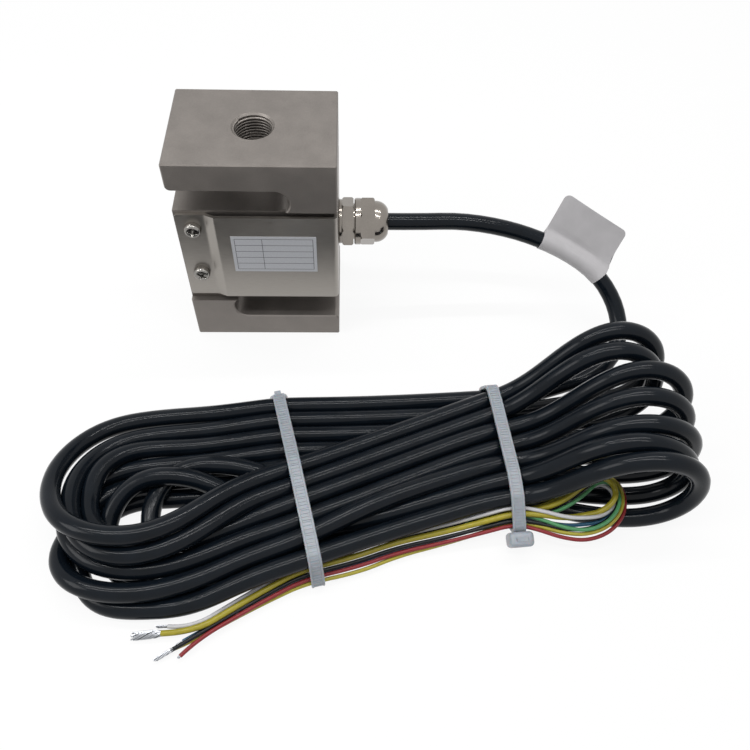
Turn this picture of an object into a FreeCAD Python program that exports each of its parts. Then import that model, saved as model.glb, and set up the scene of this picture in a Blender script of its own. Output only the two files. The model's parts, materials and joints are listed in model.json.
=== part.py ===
"""S type load cell with its cable gland, cable hank, marker flag and bared conductors.

Millimetres, +Z up. The origin is the centre of the beam's lower face, on the axis of both load threads.
+X points from the beam to its cable gland, and -Y is the side that carries the label.
Each node is written to parts/NODE.step.
"""
import FreeCAD, Part
import math
import os

V = FreeCAD.Vector
X_AXIS = V(1, 0, 0)
Y_AXIS = V(0, 1, 0)
Z_AXIS = V(0, 0, 1)

# ---------------------------------------------------------------- beam body
body_width = 50.8
body_thickness = 36.5
body_height = 76.2
arm_height = 9.8
slot_height = 9.4
slot_reach = 11.0             # closed end of each slot, past the beam's centre line
arm_tip_radius = 1.6
edge_break = 0.4
load_thread_radius = 6.0      # M12 x 1, at the major diameter
thread_mouth_chamfer = 0.6
recess_depth = 2.3            # milled into both faces for the cover
recess_margin = 1.3           # recess past the middle block, up and down
pocket_radius = 12.0          # gauge pockets, one from each face
pocket_corner = 1.0
web_thickness = 5.0
lead_bore_radius = 5.0

# ---------------------------------------------------------------- cover
cover_sheet = 1.0
cover_inset = 1.0             # below the middle block's upper edge and above its lower one
cover_end_gap = 0.4           # from the beam's left face to the flange's free edge
flange_width = 9.8            # from the beam's left face to where the sheet steps out
cover_step_run = 3.0
cover_bend_radius = 1.2
cover_corner_radius = 1.0
flush_clearance = 0.0         # the raised panel lies flush with the beam's faces

# ---------------------------------------------------------------- cover screws (M3 pan head)
screw_inset = 5.5             # from the beam's left face
screw_heights = (31.0, 50.5)
screw_radius = 1.5
screw_length = 6.0
screw_head_radius = 2.7
screw_head_height = 2.2
screw_hole_clearance = 0.2
tapped_clearance = 0.02
tapped_extra_depth = 0.8

# ---------------------------------------------------------------- label
label_width = 27.0
label_height = 15.6
label_thickness = 0.15
label_centre_x = 5.0
label_centre_z = 40.6

# ---------------------------------------------------------------- strain gauges and wiring
gauge_size = 10.0
gauge_thickness = 0.12
gauge_centre_x = -4.0
board_width = 6.4
board_height = 12.0
board_thickness = 1.0
board_left_x = 2.5
jumper_radius = 0.15
jumper_pitch = 2.0
lead_radius = 0.45
lead_pitch = 1.2
lead_root_offset = 1.2        # of the leads' rows where they leave the jacket
potting_level = 2.0           # top of the potting, below the recess floor

# ---------------------------------------------------------------- cable gland, along +X
gland_height = body_height / 2
gland_thread_radius = 6.0
gland_thread_length = 8.0
gland_hex_flats = 14.0
gland_hex_length = 3.8
gland_hex_turn = 40.0         # degrees about +X, from +Y to a corner
cap_hex_turn = 1.3
gland_neck_gap = 0.3
washer_radius = 7.4
washer_thickness = 1.2
washer_round = 0.35
cap_collar_radius = 7.8
cap_collar_length = 2.1
cap_hex_length = 4.7
cap_dome_length = 4.5
cap_dome_root_radius = 6.9
cap_dome_tip_radius = 5.3
cap_thread_clearance = 0.05
gland_socket_radius = 5.0
gland_socket_depth = 7.0
gland_nose_length = 5.4
claw_wall = 0.95
claw_clearance = 0.05
claw_length = 9.0
claw_taper = 2.6
claw_tip_wall = 0.15
claw_fingers = 6
claw_slit = 0.8
seal_length = 6.4
hex_corner_chamfer = 0.5

# ---------------------------------------------------------------- cable
cable_radius = 2.9
cable_clearance = 0.02
jacket_inner_x = 17.0         # end of the jacket inside the gland
lead_overlap = 3.0            # the free lead starts this far inside the gland's nose

# Corners of the free lead's centre line, from the gland to the hank's far side.
lead_route = (
    (53.0, 0.0, 38.1),
    (67.0, 1.2, 37.6),
    (81.0, 1.0, 35.2),
    (93.5, 0.2, 31.4),
    (105.5, -3.4, 27.8),
    (116.0, -9.2, 23.4),
    (123.0, -17.0, 16.6),
    (126.0, -27.0, 9.6),
    (124.5, -37.5, 5.6),
    (119.0, -46.5, 4.6),
)

# Outer shape of the hank: x, far side, near side, underside and top of each section.
hank_sections = (
    (-67.0, -86.0, -108.0, 3.0, 15.0),
    (-62.0, -68.0, -121.0, 0.5, 24.0),
    (-46.0, -56.0, -128.0, 0.0, 26.0),
    (-25.0, -52.0, -127.0, 0.0, 24.0),
    (-8.0, -51.0, -118.0, 0.0, 18.0),
    (2.0, -51.0, -109.0, 1.2, 12.6),
    (26.0, -51.0, -105.5, 1.2, 12.6),
    (48.0, -50.0, -96.6, 0.6, 12.6),
    (59.0, -49.2, -91.4, 0.9, 12.6),
    (72.0, -48.5, -90.3, 1.2, 12.6),
    (90.0, -46.5, -90.6, 1.2, 15.0),
    (103.0, -40.0, -97.0, 0.0, 30.0),
    (122.0, -35.0, -98.5, 0.0, 44.0),
    (136.0, -39.0, -98.5, 2.0, 42.0),
    (142.0, -50.0, -95.0, 9.0, 33.0),
)
hank_corner_share = 0.42      # corner radius of a section, as a share of its height
tail_end_x = 64.0             # the jacket's outer end, beside the hank
tail_length = 16.0
tail_y = -94.4
tail_z = 3.1
# Open space inside the nearest turn, where the conductors loop: (x, z) corners, rounded, and its back.
loop_room = ((86.0, 6.0), (119.0, 6.0), (129.0, 20.0), (120.0, 34.0), (86.0, 14.4))
loop_room_corner = 4.0
loop_room_back_y = -78.4

# ---------------------------------------------------------------- cable ties
strap_width = 4.0
strap_thickness = 1.2
tie_places = {"left": 12.0, "right": 80.0}
tie_turns = {"left": 13.0, "right": 3.5}          # degrees about +Z
tie_near_sides = {"left": -112.6, "right": -99.9}
tie_corner_radius = 2.5
tie_length_margin = 4.0
head_size = (7.4, 4.6, 7.0)
head_edge = 0.9
head_height = 1.0

# ---------------------------------------------------------------- marker flag
flag_sheet = 0.35
flag_length = 25.0
flag_reach = 17.5
flag_lean = 33.0              # degrees from the vertical, towards +Y
flag_corner = 2.0
flag_start = 58.0             # along the lead, from where the free lead begins

# ---------------------------------------------------------------- conductors
core_radius = 0.6
shield_radius = 0.9           # the screen's drain wires in their sleeve
core_pitch = 1.3
core_grid = {
    "red": (1, -0.5), "yellow": (1, 0.5), "blue": (0, -0.5),
    "black": (0, 0.5), "white": (-1, -0.5), "green": (-1, 0.5), "shield": (0, 1.74),
}
# Corners of the bundle's centre line: out of the jacket, round the loop and back under both ties.
core_route = (
    (64.0, -94.4, 3.1),
    (70.5, -94.4, 3.1),
    (80.0, -92.6, 3.4),
    (87.0, -93.6, 6.2),
    (93.5, -92.0, 8.6),
    (99.5, -86.8, 9.4),
    (105.8, -82.4, 9.4),
    (111.8, -85.6, 9.4),
    (112.0, -92.8, 9.2),
    (107.4, -98.6, 8.4),
    (100.4, -101.4, 6.8),
    (93.4, -100.8, 5.2),
    (86.4, -98.2, 4.2),
    (79.0, -96.4, 3.6),
    (69.5, -98.8, 2.4),
    (57.0, -100.4, 2.0),
    (43.0, -102.8, 2.2),
    (31.0, -106.8, 2.6),
    (15.5, -109.8, 3.0),
    (6.0, -115.4, 2.4),
    (-3.0, -121.6, 2.0),
    (-14.0, -128.4, 1.8),
)
core_ends = {
    "red": (-22.5, -137.0), "yellow": (-25.0, -136.4), "blue": (-26.5, -133.6), "black": (-27.0, -131.0),
    "white": (-28.5, -129.4), "green": (-29.0, -126.9), "shield": (-24.5, -131.9),
}
core_end_height = 0.9
core_end_rise = 1.0
tip_radius = 0.42
tip_length = 5.0

# ---------------------------------------------------------------- values that follow from those above
half_width = body_width / 2
half_thickness = body_thickness / 2
mid_height = body_height / 2
block_low = arm_height + slot_height
block_high = body_height - block_low
recess_low = block_low - recess_margin
recess_high = block_high + recess_margin
recess_floor = half_thickness - recess_depth
side_floor = half_width - cover_sheet
web_half = web_thickness / 2
cover_step_x = flange_width - half_width
screw_x = screw_inset - half_width
cover_low = block_low + cover_inset
cover_high = block_high - cover_inset
flange_face = recess_floor + cover_sheet
panel_inner = half_thickness - flush_clearance - cover_sheet
lead_bore_end = math.sqrt(pocket_radius ** 2 - lead_bore_radius ** 2)
washer_end = half_width + washer_thickness
hex_end = washer_end + gland_hex_length
nose_end = hex_end + gland_nose_length
cap_start = hex_end + gland_neck_gap
collar_end = cap_start + cap_collar_length
cap_hex_end = collar_end + cap_hex_length
gland_end = cap_hex_end + cap_dome_length
socket_start = nose_end - gland_socket_depth
claw_start = socket_start + claw_clearance
claw_outer = gland_socket_radius - claw_clearance
claw_inner = claw_outer - claw_wall
claw_end = claw_start + claw_length
hex_corner_radius = gland_hex_flats / math.sqrt(3)


# ---------------------------------------------------------------- shared shapes
def cylinder(radius, start, axis, length):
    return Part.makeCylinder(radius, length, start, axis)


def box(low, high):
    """Block between two corners."""
    return Part.makeBox(high[0] - low[0], high[1] - low[1], high[2] - low[2], V(*low))


def turned(profile, axis_start, axis):
    """Solid of revolution from a closed profile of (along, radius) pairs."""
    side = Z_AXIS if abs(axis.z) < 0.5 else X_AXIS
    points = [axis_start + axis * along + side * radius for along, radius in profile]
    face = Part.Face(Part.makePolygon(points + points[:1]))
    return face.revolve(axis_start, axis, 360)


def hexagon_prism(flats, turn, start_x, length):
    """Hexagon bar along +X on the gland's axis, with its outer corners turned off at both ends."""
    corner = flats / math.sqrt(3)
    points = []
    for k in range(6):
        angle = math.radians(60 * k + turn)
        points.append(V(start_x, corner * math.cos(angle), gland_height + corner * math.sin(angle)))
    bar = Part.Face(Part.makePolygon(points + points[:1])).extrude(X_AXIS * length)
    envelope = turned(
        ((0, 0), (0, corner - hex_corner_chamfer), (hex_corner_chamfer, corner),
         (length - hex_corner_chamfer, corner), (length, corner - hex_corner_chamfer), (length, 0)),
        V(start_x, 0, gland_height), X_AXIS)
    return bar.common(envelope)


def edges_along_z(shape, x, y):
    """Edges parallel to Z that stand at (x, y)."""
    found = []
    for edge in shape.Edges:
        if not isinstance(edge.Curve, Part.Line):
            continue
        ends = [v.Point for v in edge.Vertexes]
        if all(math.hypot(p.x - x, p.y - y) < 1e-4 for p in ends):
            found.append(edge)
    return found


def rounded_path(corners):
    """Straight runs joined by tangent arcs. Returns the wire, its length and its tightest radius."""
    points = [V(*p) for p in corners]
    edges = []
    tightest = math.inf
    start = points[0]
    for before, corner, after in zip(points, points[1:], points[2:]):
        incoming = (corner - before).normalize()
        outgoing = (after - corner).normalize()
        half_turn = incoming.getAngle(outgoing) / 2
        tangent = 0.45 * min(corner.distanceToPoint(before), corner.distanceToPoint(after))
        radius = tangent / math.tan(half_turn)
        tightest = min(tightest, radius)
        arc_start = corner - incoming * tangent
        arc_end = corner + outgoing * tangent
        inward = (outgoing - incoming).normalize()
        middle = corner + inward * (radius / math.cos(half_turn) - radius)
        edges.append(Part.LineSegment(start, arc_start).toShape())
        edges.append(Part.Arc(arc_start, middle, arc_end).toShape())
        start = arc_end
    edges.append(Part.LineSegment(start, points[-1]).toShape())
    wire = Part.Wire(edges)
    return wire, wire.Length, tightest


def stretch_of_path(wire, start, length):
    """The part of a path between two distances along it."""
    edges = []
    passed = 0.0
    for edge in wire.Edges:
        begin = max(start - passed, 0.0)
        end = min(start + length - passed, edge.Length)
        if begin < end:
            first = edge.getParameterByLength(begin)
            last = edge.getParameterByLength(end)
            edges.append(edge.Curve.toShape(first, last))
        passed += edge.Length
    return Part.Wire(edges)


def tube_along(wire, radius):
    """Round solid swept along a wire of tangent edges."""
    first = wire.Edges[0]
    start = first.valueAt(first.FirstParameter)
    direction = first.tangentAt(first.FirstParameter)
    ring = Part.Wire(Part.Circle(start, direction, radius).toShape())
    return wire.makePipeShell([ring], True, False)


def rounded_rectangle(x, far, near, low, high, radius):
    """Closed wire in a plane of constant X: sides at y = near and far, z = low and high."""
    r = min(radius, (high - low) / 2 - 0.05, (far - near) / 2 - 0.05)
    diagonal = r * (1 - math.sqrt(0.5))
    corners = (
        ((near, low + r), (near + diagonal, low + diagonal), (near + r, low)),
        ((far - r, low), (far - diagonal, low + diagonal), (far, low + r)),
        ((far, high - r), (far - diagonal, high - diagonal), (far - r, high)),
        ((near + r, high), (near + diagonal, high - diagonal), (near, high - r)),
    )
    edges = []
    for k, corner in enumerate(corners):
        a, m, b = (V(x, y, z) for y, z in corner)
        edges.append(Part.Arc(a, m, b).toShape())
        y, z = corners[(k + 1) % 4][0]
        edges.append(Part.LineSegment(b, V(x, y, z)).toShape())
    return Part.Wire(edges)


# ---------------------------------------------------------------- beam body
def slot_cutter(closed_x, open_x, low):
    """Obround cutter through the thickness, closed by a full round at closed_x."""
    radius = slot_height / 2
    centre_x = closed_x + math.copysign(radius, open_x - closed_x)
    deep = body_thickness + 2
    end = cylinder(radius, V(centre_x, -deep / 2, low + radius), Y_AXIS, deep)
    left, right = sorted((centre_x, open_x))
    return end.fuse(box((left, -deep / 2, low), (right, deep / 2, low + slot_height)))


def load_thread_cutter(mouth_z, axis):
    """Plain bore at the thread's major diameter through one arm, with a chamfered mouth."""
    past = 1.0
    profile = ((-past, 0), (-past, load_thread_radius + thread_mouth_chamfer + past),
               (thread_mouth_chamfer, load_thread_radius), (arm_height + past, load_thread_radius),
               (arm_height + past, 0))
    return turned(profile, V(0, 0, mouth_z), axis)


def beam_body():
    block = box((-half_width, -half_thickness, 0), (half_width, half_thickness, body_height))
    past = half_width + 2
    block = block.cut(slot_cutter(slot_reach, -past, block_high))
    block = block.cut(slot_cutter(-slot_reach, past, arm_height))
    tips = []
    for edge in block.Edges:
        ends = [v.Point for v in edge.Vertexes]
        along_y = len(ends) == 2 and abs(abs(ends[0].y - ends[1].y) - body_thickness) < 1e-6
        if not along_y:
            continue
        x, z = ends[0].x, ends[0].z
        upper_tip = abs(x + half_width) < 1e-6 and abs(z - (body_height - arm_height)) < 1e-6
        lower_tip = abs(x - half_width) < 1e-6 and abs(z - arm_height) < 1e-6
        if upper_tip or lower_tip:
            tips.append(edge)
    block = block.makeFillet(arm_tip_radius, tips)
    outer = []
    for edge in block.Edges:
        box_of_edge = edge.BoundBox
        on_corner = (abs(abs(box_of_edge.Center.x) - half_width) < 1e-6
                     and abs(abs(box_of_edge.Center.y) - half_thickness) < 1e-6
                     and box_of_edge.ZLength > arm_height / 2)
        on_rim = (box_of_edge.ZLength < 1e-6
                  and (abs(box_of_edge.ZMin) < 1e-6 or abs(box_of_edge.ZMin - body_height) < 1e-6))
        if on_corner or on_rim:
            outer.append(edge)
    block = block.makeChamfer(edge_break, outer)

    for side in (-1, 1):
        inner = side * recess_floor
        outer_y = side * (half_thickness + 1)
        low_y, high_y = sorted((inner, outer_y))
        block = block.cut(box((-past, low_y, recess_low), (past, high_y, recess_high)))
        floor = side * web_half
        pocket = cylinder(pocket_radius, V(0, floor, mid_height), Y_AXIS * side, half_thickness)
        rim = [e for e in pocket.Edges if isinstance(e.Curve, Part.Circle)
               and abs(e.Curve.Center.y - floor) < 1e-6]
        block = block.cut(pocket.makeFillet(pocket_corner, rim))
        for height in screw_heights:
            depth = screw_length - cover_sheet + tapped_extra_depth
            start = V(screw_x, side * (recess_floor + 1), height)
            block = block.cut(cylinder(screw_radius + tapped_clearance, start, Y_AXIS * -side, depth + 1))
    block = block.cut(box((side_floor, -past, recess_low), (past, past, recess_high)))

    block = block.cut(load_thread_cutter(body_height, Z_AXIS * -1))
    block = block.cut(load_thread_cutter(0, Z_AXIS))
    port = V(side_floor + 1, 0, gland_height)
    block = block.cut(cylinder(gland_thread_radius + tapped_clearance, port, X_AXIS * -1, gland_thread_length + 1))
    return block.cut(cylinder(lead_bore_radius, port, X_AXIS * -1, port.x - lead_bore_end))


# ---------------------------------------------------------------- cover, label and screws
def cover():
    """One folded sheet: front panel, side wall round the gland and back panel, with screwed flanges."""
    free_x = -half_width + cover_end_gap
    step_end_x = cover_step_x + cover_step_run
    half_line = ((free_x, -recess_floor), (cover_step_x, -recess_floor),
                 (step_end_x, -panel_inner), (side_floor, -panel_inner))
    inner = list(half_line) + [(x, -y) for x, y in reversed(half_line)]
    lift = math.atan2(panel_inner - recess_floor, cover_step_run)
    miter = cover_sheet * math.tan(lift / 2)
    half_outer = ((free_x, -flange_face), (cover_step_x - miter, -flange_face),
                  (step_end_x - miter, -panel_inner - cover_sheet),
                  (side_floor + cover_sheet, -panel_inner - cover_sheet))
    outer = list(half_outer) + [(x, -y) for x, y in reversed(half_outer)]
    ring = [V(x, y, cover_low) for x, y in outer + inner[::-1]]
    sheet = Part.Face(Part.makePolygon(ring + ring[:1])).extrude(Z_AXIS * (cover_high - cover_low))
    bends = [(inner[k], cover_bend_radius) for k in (1, 6)]
    bends += [(outer[k], cover_bend_radius + cover_sheet) for k in (1, 6)]
    bends += [(inner[k], cover_bend_radius + cover_sheet) for k in (2, 5)]
    bends += [(outer[k], cover_bend_radius) for k in (2, 5)]
    bends += [(inner[k], cover_bend_radius - cover_sheet * 0.6) for k in (3, 4)]
    bends += [(outer[k], cover_bend_radius + cover_sheet * 0.4) for k in (3, 4)]
    for (x, y), radius in bends:
        sheet = sheet.makeFillet(radius, edges_along_z(sheet, x, y))
    corners = [e for e in sheet.Edges if abs(e.BoundBox.Center.x - free_x) < 1e-4 and e.BoundBox.YLength > 0.5
               and e.BoundBox.ZLength < 1e-4]
    sheet = sheet.makeFillet(cover_corner_radius, corners)
    hole = gland_thread_radius + screw_hole_clearance
    sheet = sheet.cut(cylinder(hole, V(side_floor - 1, 0, gland_height), X_AXIS, cover_sheet + 2))
    for side in (-1, 1):
        for height in screw_heights:
            start = V(screw_x, side * (recess_floor - 1), height)
            reach = cover_sheet + 2
            sheet = sheet.cut(cylinder(screw_radius + screw_hole_clearance, start, Y_AXIS * side, reach))
    return sheet


def cover_screws(side):
    """Two pan-head screws on one face; side is -1 for the front and 1 for the back."""
    screws = []
    for height in screw_heights:
        seat = V(screw_x, side * flange_face, height)
        outward = Y_AXIS * side
        shank = cylinder(screw_radius, seat - outward * screw_length, outward, screw_length)
        crown = screw_head_height * 0.55
        head = cylinder(screw_head_radius, seat, outward, screw_head_height)
        rim = [e for e in head.Edges if isinstance(e.Curve, Part.Circle)
               and abs(e.Curve.Center.y - (seat + outward * screw_head_height).y) < 1e-6]
        head = head.makeFillet(crown, rim)
        screws.append(head.fuse(shank).removeSplitter())
    return Part.makeCompound(screws)


def label_plate():
    left = label_centre_x - label_width / 2
    low = label_centre_z - label_height / 2
    face_y = -(panel_inner + cover_sheet)
    return box((left, face_y - label_thickness, low), (left + label_width, face_y, low + label_height))


# ---------------------------------------------------------------- gauges and wiring
def gauge(side):
    """Foil gauge bonded to one side of the web."""
    half = gauge_size / 2
    ys = sorted((side * web_half, side * (web_half + gauge_thickness)))
    return box((gauge_centre_x - half, ys[0], mid_height - half), (gauge_centre_x + half, ys[1], mid_height + half))


def bridge_board():
    board = box((board_left_x, -web_half - board_thickness, mid_height - board_height / 2),
                (board_left_x + board_width, -web_half, mid_height + board_height / 2))
    return board


def gauge_jumpers():
    """Fine wires from the front gauge's tabs to the bridge board."""
    y = -web_half - gauge_thickness - jumper_radius
    start_x = gauge_centre_x + gauge_size / 2 - 1.5
    wires = []
    for row in (-1.5, -0.5, 0.5, 1.5):
        start = V(start_x, y, mid_height + row * jumper_pitch)
        wires.append(cylinder(jumper_radius, start, X_AXIS, board_left_x - start_x))
    return Part.makeCompound(wires)


def lead_wires(side, seat_y, end_x, rows):
    """Conductors from the jacket's inner end through the lead bore to one side of the web."""
    wires = []
    for row in rows:
        z = gland_height + row * lead_pitch
        corners = ((jacket_inner_x, side * lead_root_offset, z), (jacket_inner_x - 2.2, side * lead_root_offset, z),
                   (lead_bore_end + 0.8, side * seat_y, z), (end_x, side * seat_y, z))
        wire, _, _ = rounded_path(corners)
        wires.append(tube_along(wire, lead_radius))
    return Part.makeCompound(wires)


def front_leads():
    return lead_wires(-1, web_half + board_thickness + lead_radius, board_left_x + board_width / 2,
                      (-1.5, -0.5, 0.5, 1.5))


def back_leads():
    return lead_wires(1, web_half + gauge_thickness + lead_radius, gauge_centre_x + gauge_size / 2 - 2,
                      (-1, 0, 1))


def potting(side, inside):
    """Soft sealant that fills one gauge pocket over its wiring."""
    depth = recess_floor - web_half - potting_level
    fill = cylinder(pocket_radius, V(0, side * web_half, mid_height), Y_AXIS * side, depth)
    rim = [e for e in fill.Edges if isinstance(e.Curve, Part.Circle)
           and abs(e.Curve.Center.y - side * web_half) < 1e-6]
    fill = fill.makeFillet(pocket_corner, rim)
    fill = fill.cut(cylinder(lead_bore_radius, V(lead_bore_end, 0, gland_height), X_AXIS, pocket_radius))
    for piece in inside:
        fill = fill.cut(piece)
    return Part.makeCompound([s for s in fill.Solids if s.Volume > 1.0])


# ---------------------------------------------------------------- gland
def gland_washer():
    washer = cylinder(washer_radius, V(half_width, 0, gland_height), X_AXIS, washer_thickness)
    rims = [e for e in washer.Edges if isinstance(e.Curve, Part.Circle)]
    washer = washer.makeFillet(washer_round, rims)
    past = V(half_width - 1, 0, gland_height)
    return washer.cut(cylinder(gland_thread_radius + tapped_clearance, past, X_AXIS, washer_thickness + 2))


def gland_body():
    """Hexagon with a thread each way: into the beam, and out to the cap nut."""
    root = side_floor - gland_thread_length
    start = V(root, 0, gland_height)
    stem = turned(((0, 0), (0, gland_thread_radius - 0.6), (0.6, gland_thread_radius),
                   (nose_end - root - 0.5, gland_thread_radius), (nose_end - root, gland_thread_radius - 0.5),
                   (nose_end - root, 0)), start, X_AXIS)
    shape = stem.fuse(hexagon_prism(gland_hex_flats, gland_hex_turn, washer_end, gland_hex_length))
    bore = cable_radius + 4 * screw_hole_clearance
    shape = shape.cut(cylinder(bore, start - X_AXIS, X_AXIS, nose_end - root + 2))
    socket = cylinder(gland_socket_radius, V(socket_start, 0, gland_height), X_AXIS, gland_socket_depth + 1)
    return shape.cut(socket)


def gland_claw():
    """Slit clamping cage that the cap nut's cone closes on the seal."""
    profile = ((0, claw_inner), (0, claw_outer), (claw_length - claw_taper, claw_outer),
               (claw_length, claw_inner + claw_tip_wall), (claw_length, claw_inner))
    cage = turned(profile, V(claw_start, 0, gland_height), X_AXIS)
    slit_start = claw_start + claw_length * 0.4
    for k in range(claw_fingers // 2):
        cutter = box((slit_start, -claw_slit / 2, -2 * claw_outer), (claw_start + claw_length + 1, claw_slit / 2, 2 * claw_outer))
        cutter.translate(V(0, 0, gland_height))
        cutter.rotate(V(0, 0, gland_height), X_AXIS, k * 360 / claw_fingers)
        cage = cage.cut(cutter)
    return cage


def gland_seal():
    start = V(claw_start + 0.8, 0, gland_height)
    sleeve = cylinder(claw_inner - claw_clearance, start, X_AXIS, seal_length)
    return sleeve.cut(cylinder(cable_radius + cable_clearance, start - X_AXIS, X_AXIS, seal_length + 2))


def gland_cap_nut():
    """Collar, hexagon and rounded dome in one turned piece, threaded inside."""
    start = V(cap_start, 0, gland_height)
    collar = turned(((0, 0), (0, cap_collar_radius - 0.4), (0.4, cap_collar_radius),
                     (cap_collar_length, cap_collar_radius), (cap_collar_length, 0)), start, X_AXIS)
    shape = collar.fuse(hexagon_prism(gland_hex_flats, cap_hex_turn, collar_end, cap_hex_length))
    base = V(cap_hex_end, 0, gland_height + cap_dome_root_radius)
    tip = V(gland_end, 0, gland_height + cap_dome_tip_radius - 0.9)
    shoulder = V(cap_hex_end + 0.55 * cap_dome_length, 0, gland_height + cap_dome_root_radius - 0.45)
    crest = Part.Arc(base, shoulder, tip).toShape()
    axis_end = V(gland_end, 0, gland_height)
    axis_base = V(cap_hex_end, 0, gland_height)
    outline = Part.Wire([crest, Part.LineSegment(tip, axis_end).toShape(),
                         Part.LineSegment(axis_end, axis_base).toShape(),
                         Part.LineSegment(axis_base, base).toShape()])
    shape = shape.fuse(Part.Face(outline).revolve(axis_base, X_AXIS, 360))
    thread = gland_thread_radius + cap_thread_clearance
    throat = cable_radius + screw_hole_clearance
    cone_start = max(nose_end, claw_end - claw_taper) + claw_clearance - cap_start
    cone_end = claw_end + claw_clearance - cap_start
    tip_radius_here = claw_inner + claw_tip_wall + claw_clearance
    hollow = turned(((-1, 0), (-1, thread), (cone_start, thread), (cone_start, claw_outer + claw_clearance),
                     (cone_end, tip_radius_here), (cone_end, throat), (gland_end - cap_start + 1, throat),
                     (gland_end - cap_start + 1, 0)), start, X_AXIS)
    return shape.cut(hollow).removeSplitter()


# ---------------------------------------------------------------- cable and what is on it
def jacket_inner_end():
    """The straight stretch of the cable that the gland grips."""
    length = gland_end - lead_overlap - jacket_inner_x
    return cylinder(cable_radius, V(jacket_inner_x, 0, gland_height), X_AXIS, length)


def lead_corners():
    return ((gland_end - lead_overlap, 0, gland_height),) + lead_route


def cable_hank():
    """Closed outer shape of the tied turns, with the jacket's outer end beside it."""
    wires = []
    for x, far, near, low, high in hank_sections:
        wires.append(rounded_rectangle(x, far, near, low, high, hank_corner_share * (high - low)))
    body = Part.makeLoft(wires, True, True)
    tail = cylinder(cable_radius, V(tail_end_x - tail_length, tail_y, tail_z), X_AXIS, tail_length)
    outline = [V(x, loop_room_back_y, z) for x, z in loop_room]
    room = Part.Face(Part.makePolygon(outline + outline[:1])).extrude(Y_AXIS * (min(s[2] for s in hank_sections) - tail_y))
    room = room.makeFillet(loop_room_corner, [e for e in room.Edges if e.BoundBox.YLength > 1.0])
    return body.fuse(tail).cut(room)


def cable_lead(hank):
    wire, length, tightest = rounded_path(lead_corners())
    tube = tube_along(wire, cable_radius)
    ideal = math.pi * cable_radius ** 2 * length
    print(f"cable_lead: {length:.1f} mm, tightest radius {tightest:.1f} mm, volume {tube.Volume / ideal:.4f} of ideal")
    return tube.cut(hank)


def cable_tie(name, hank):
    """Nylon strap round the hank and the conductors, with its head."""
    place = tie_places[name]
    section = hank_section_at(place)
    far, low, high = section[0], section[2], section[3]
    near = tie_near_sides[name]
    radius = tie_corner_radius
    reach = abs(math.tan(math.radians(tie_turns[name]))) * (far - near) + strap_width + tie_length_margin
    t = strap_thickness
    outer = Part.Face(rounded_rectangle(place - reach, far + t, near - t, low - t, high + t, radius + t))
    inner = Part.Face(rounded_rectangle(place - reach - 1, far, near, low, high, radius))
    sleeve = outer.extrude(X_AXIS * 2 * reach).cut(inner.extrude(X_AXIS * (2 * reach + 2)))
    centre = V(place, (far + near) / 2, 0)
    span = far - near
    slab = box((-strap_width / 2, -span, -span), (strap_width / 2, span, span))
    slab.rotate(V(0, 0, 0), Z_AXIS, tie_turns[name])
    slab.translate(centre)
    strap = sleeve.common(slab)
    width, depth, height = head_size
    turn = math.radians(tie_turns[name])
    if name == "right":
        head_y = near - t - depth + 0.3
    else:
        head_y = far + t - 0.3
    head_x = place - math.tan(turn) * (head_y + depth / 2 - centre.y)
    head = box((head_x - width / 2, head_y, head_height), (head_x + width / 2, head_y + depth, head_height + height))
    head = head.makeFillet(head_edge, head.Edges)
    tie = strap.fuse(head).removeSplitter()
    return tie.cut(hank)


def hank_section_at(x):
    """Far, near, underside and top of the hank at x, between two of its sections."""
    for a, b in zip(hank_sections, hank_sections[1:]):
        if a[0] <= x <= b[0]:
            t = (x - a[0]) / (b[0] - a[0])
            return [p + (q - p) * t for p, q in zip(a[1:], b[1:])]
    raise ValueError(f"no hank section at {x}")


def marker_flag():
    """Paper label folded round the lead, its two halves stuck together into a flag."""
    wire, _, _ = rounded_path(lead_corners())
    stretch = stretch_of_path(wire, flag_start, flag_length)
    outer = tube_along(stretch, cable_radius + flag_sheet)
    inner = tube_along(stretch, cable_radius + cable_clearance)
    sleeve = outer.cut(inner)
    start = stretch.Edges[0].valueAt(stretch.Edges[0].FirstParameter)
    end = stretch.Edges[-1].valueAt(stretch.Edges[-1].LastParameter)
    along = (end - start).normalize()
    lean = math.radians(flag_lean)
    up = V(0, math.sin(lean), math.cos(lean))
    up = (up - along * up.dot(along)).normalize()
    normal = along.cross(up).normalize()
    middle = (start + end) * 0.5
    half = flag_length / 2
    foot = cable_radius + 0.1
    plate_corners = [middle - along * half + up * foot, middle + along * half + up * foot,
                     middle + along * half + up * (foot + flag_reach), middle - along * half + up * (foot + flag_reach)]
    plate_corners = [p - normal * flag_sheet for p in plate_corners]
    plate = Part.Face(Part.makePolygon(plate_corners + plate_corners[:1])).extrude(normal * 2 * flag_sheet)
    free = [e for e in plate.Edges if e.Length < 3 * flag_sheet
            and (e.CenterOfMass - middle).dot(up) > foot + flag_reach - 0.1]
    plate = plate.makeFillet(flag_corner, free)
    plate = plate.cut(tube_along(wire, cable_radius + cable_clearance))
    return sleeve.fuse(plate).removeSplitter()


# ---------------------------------------------------------------- conductors
def flat_direction(start, end):
    return V(end.x - start.x, end.y - start.y, 0).normalize()


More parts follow.
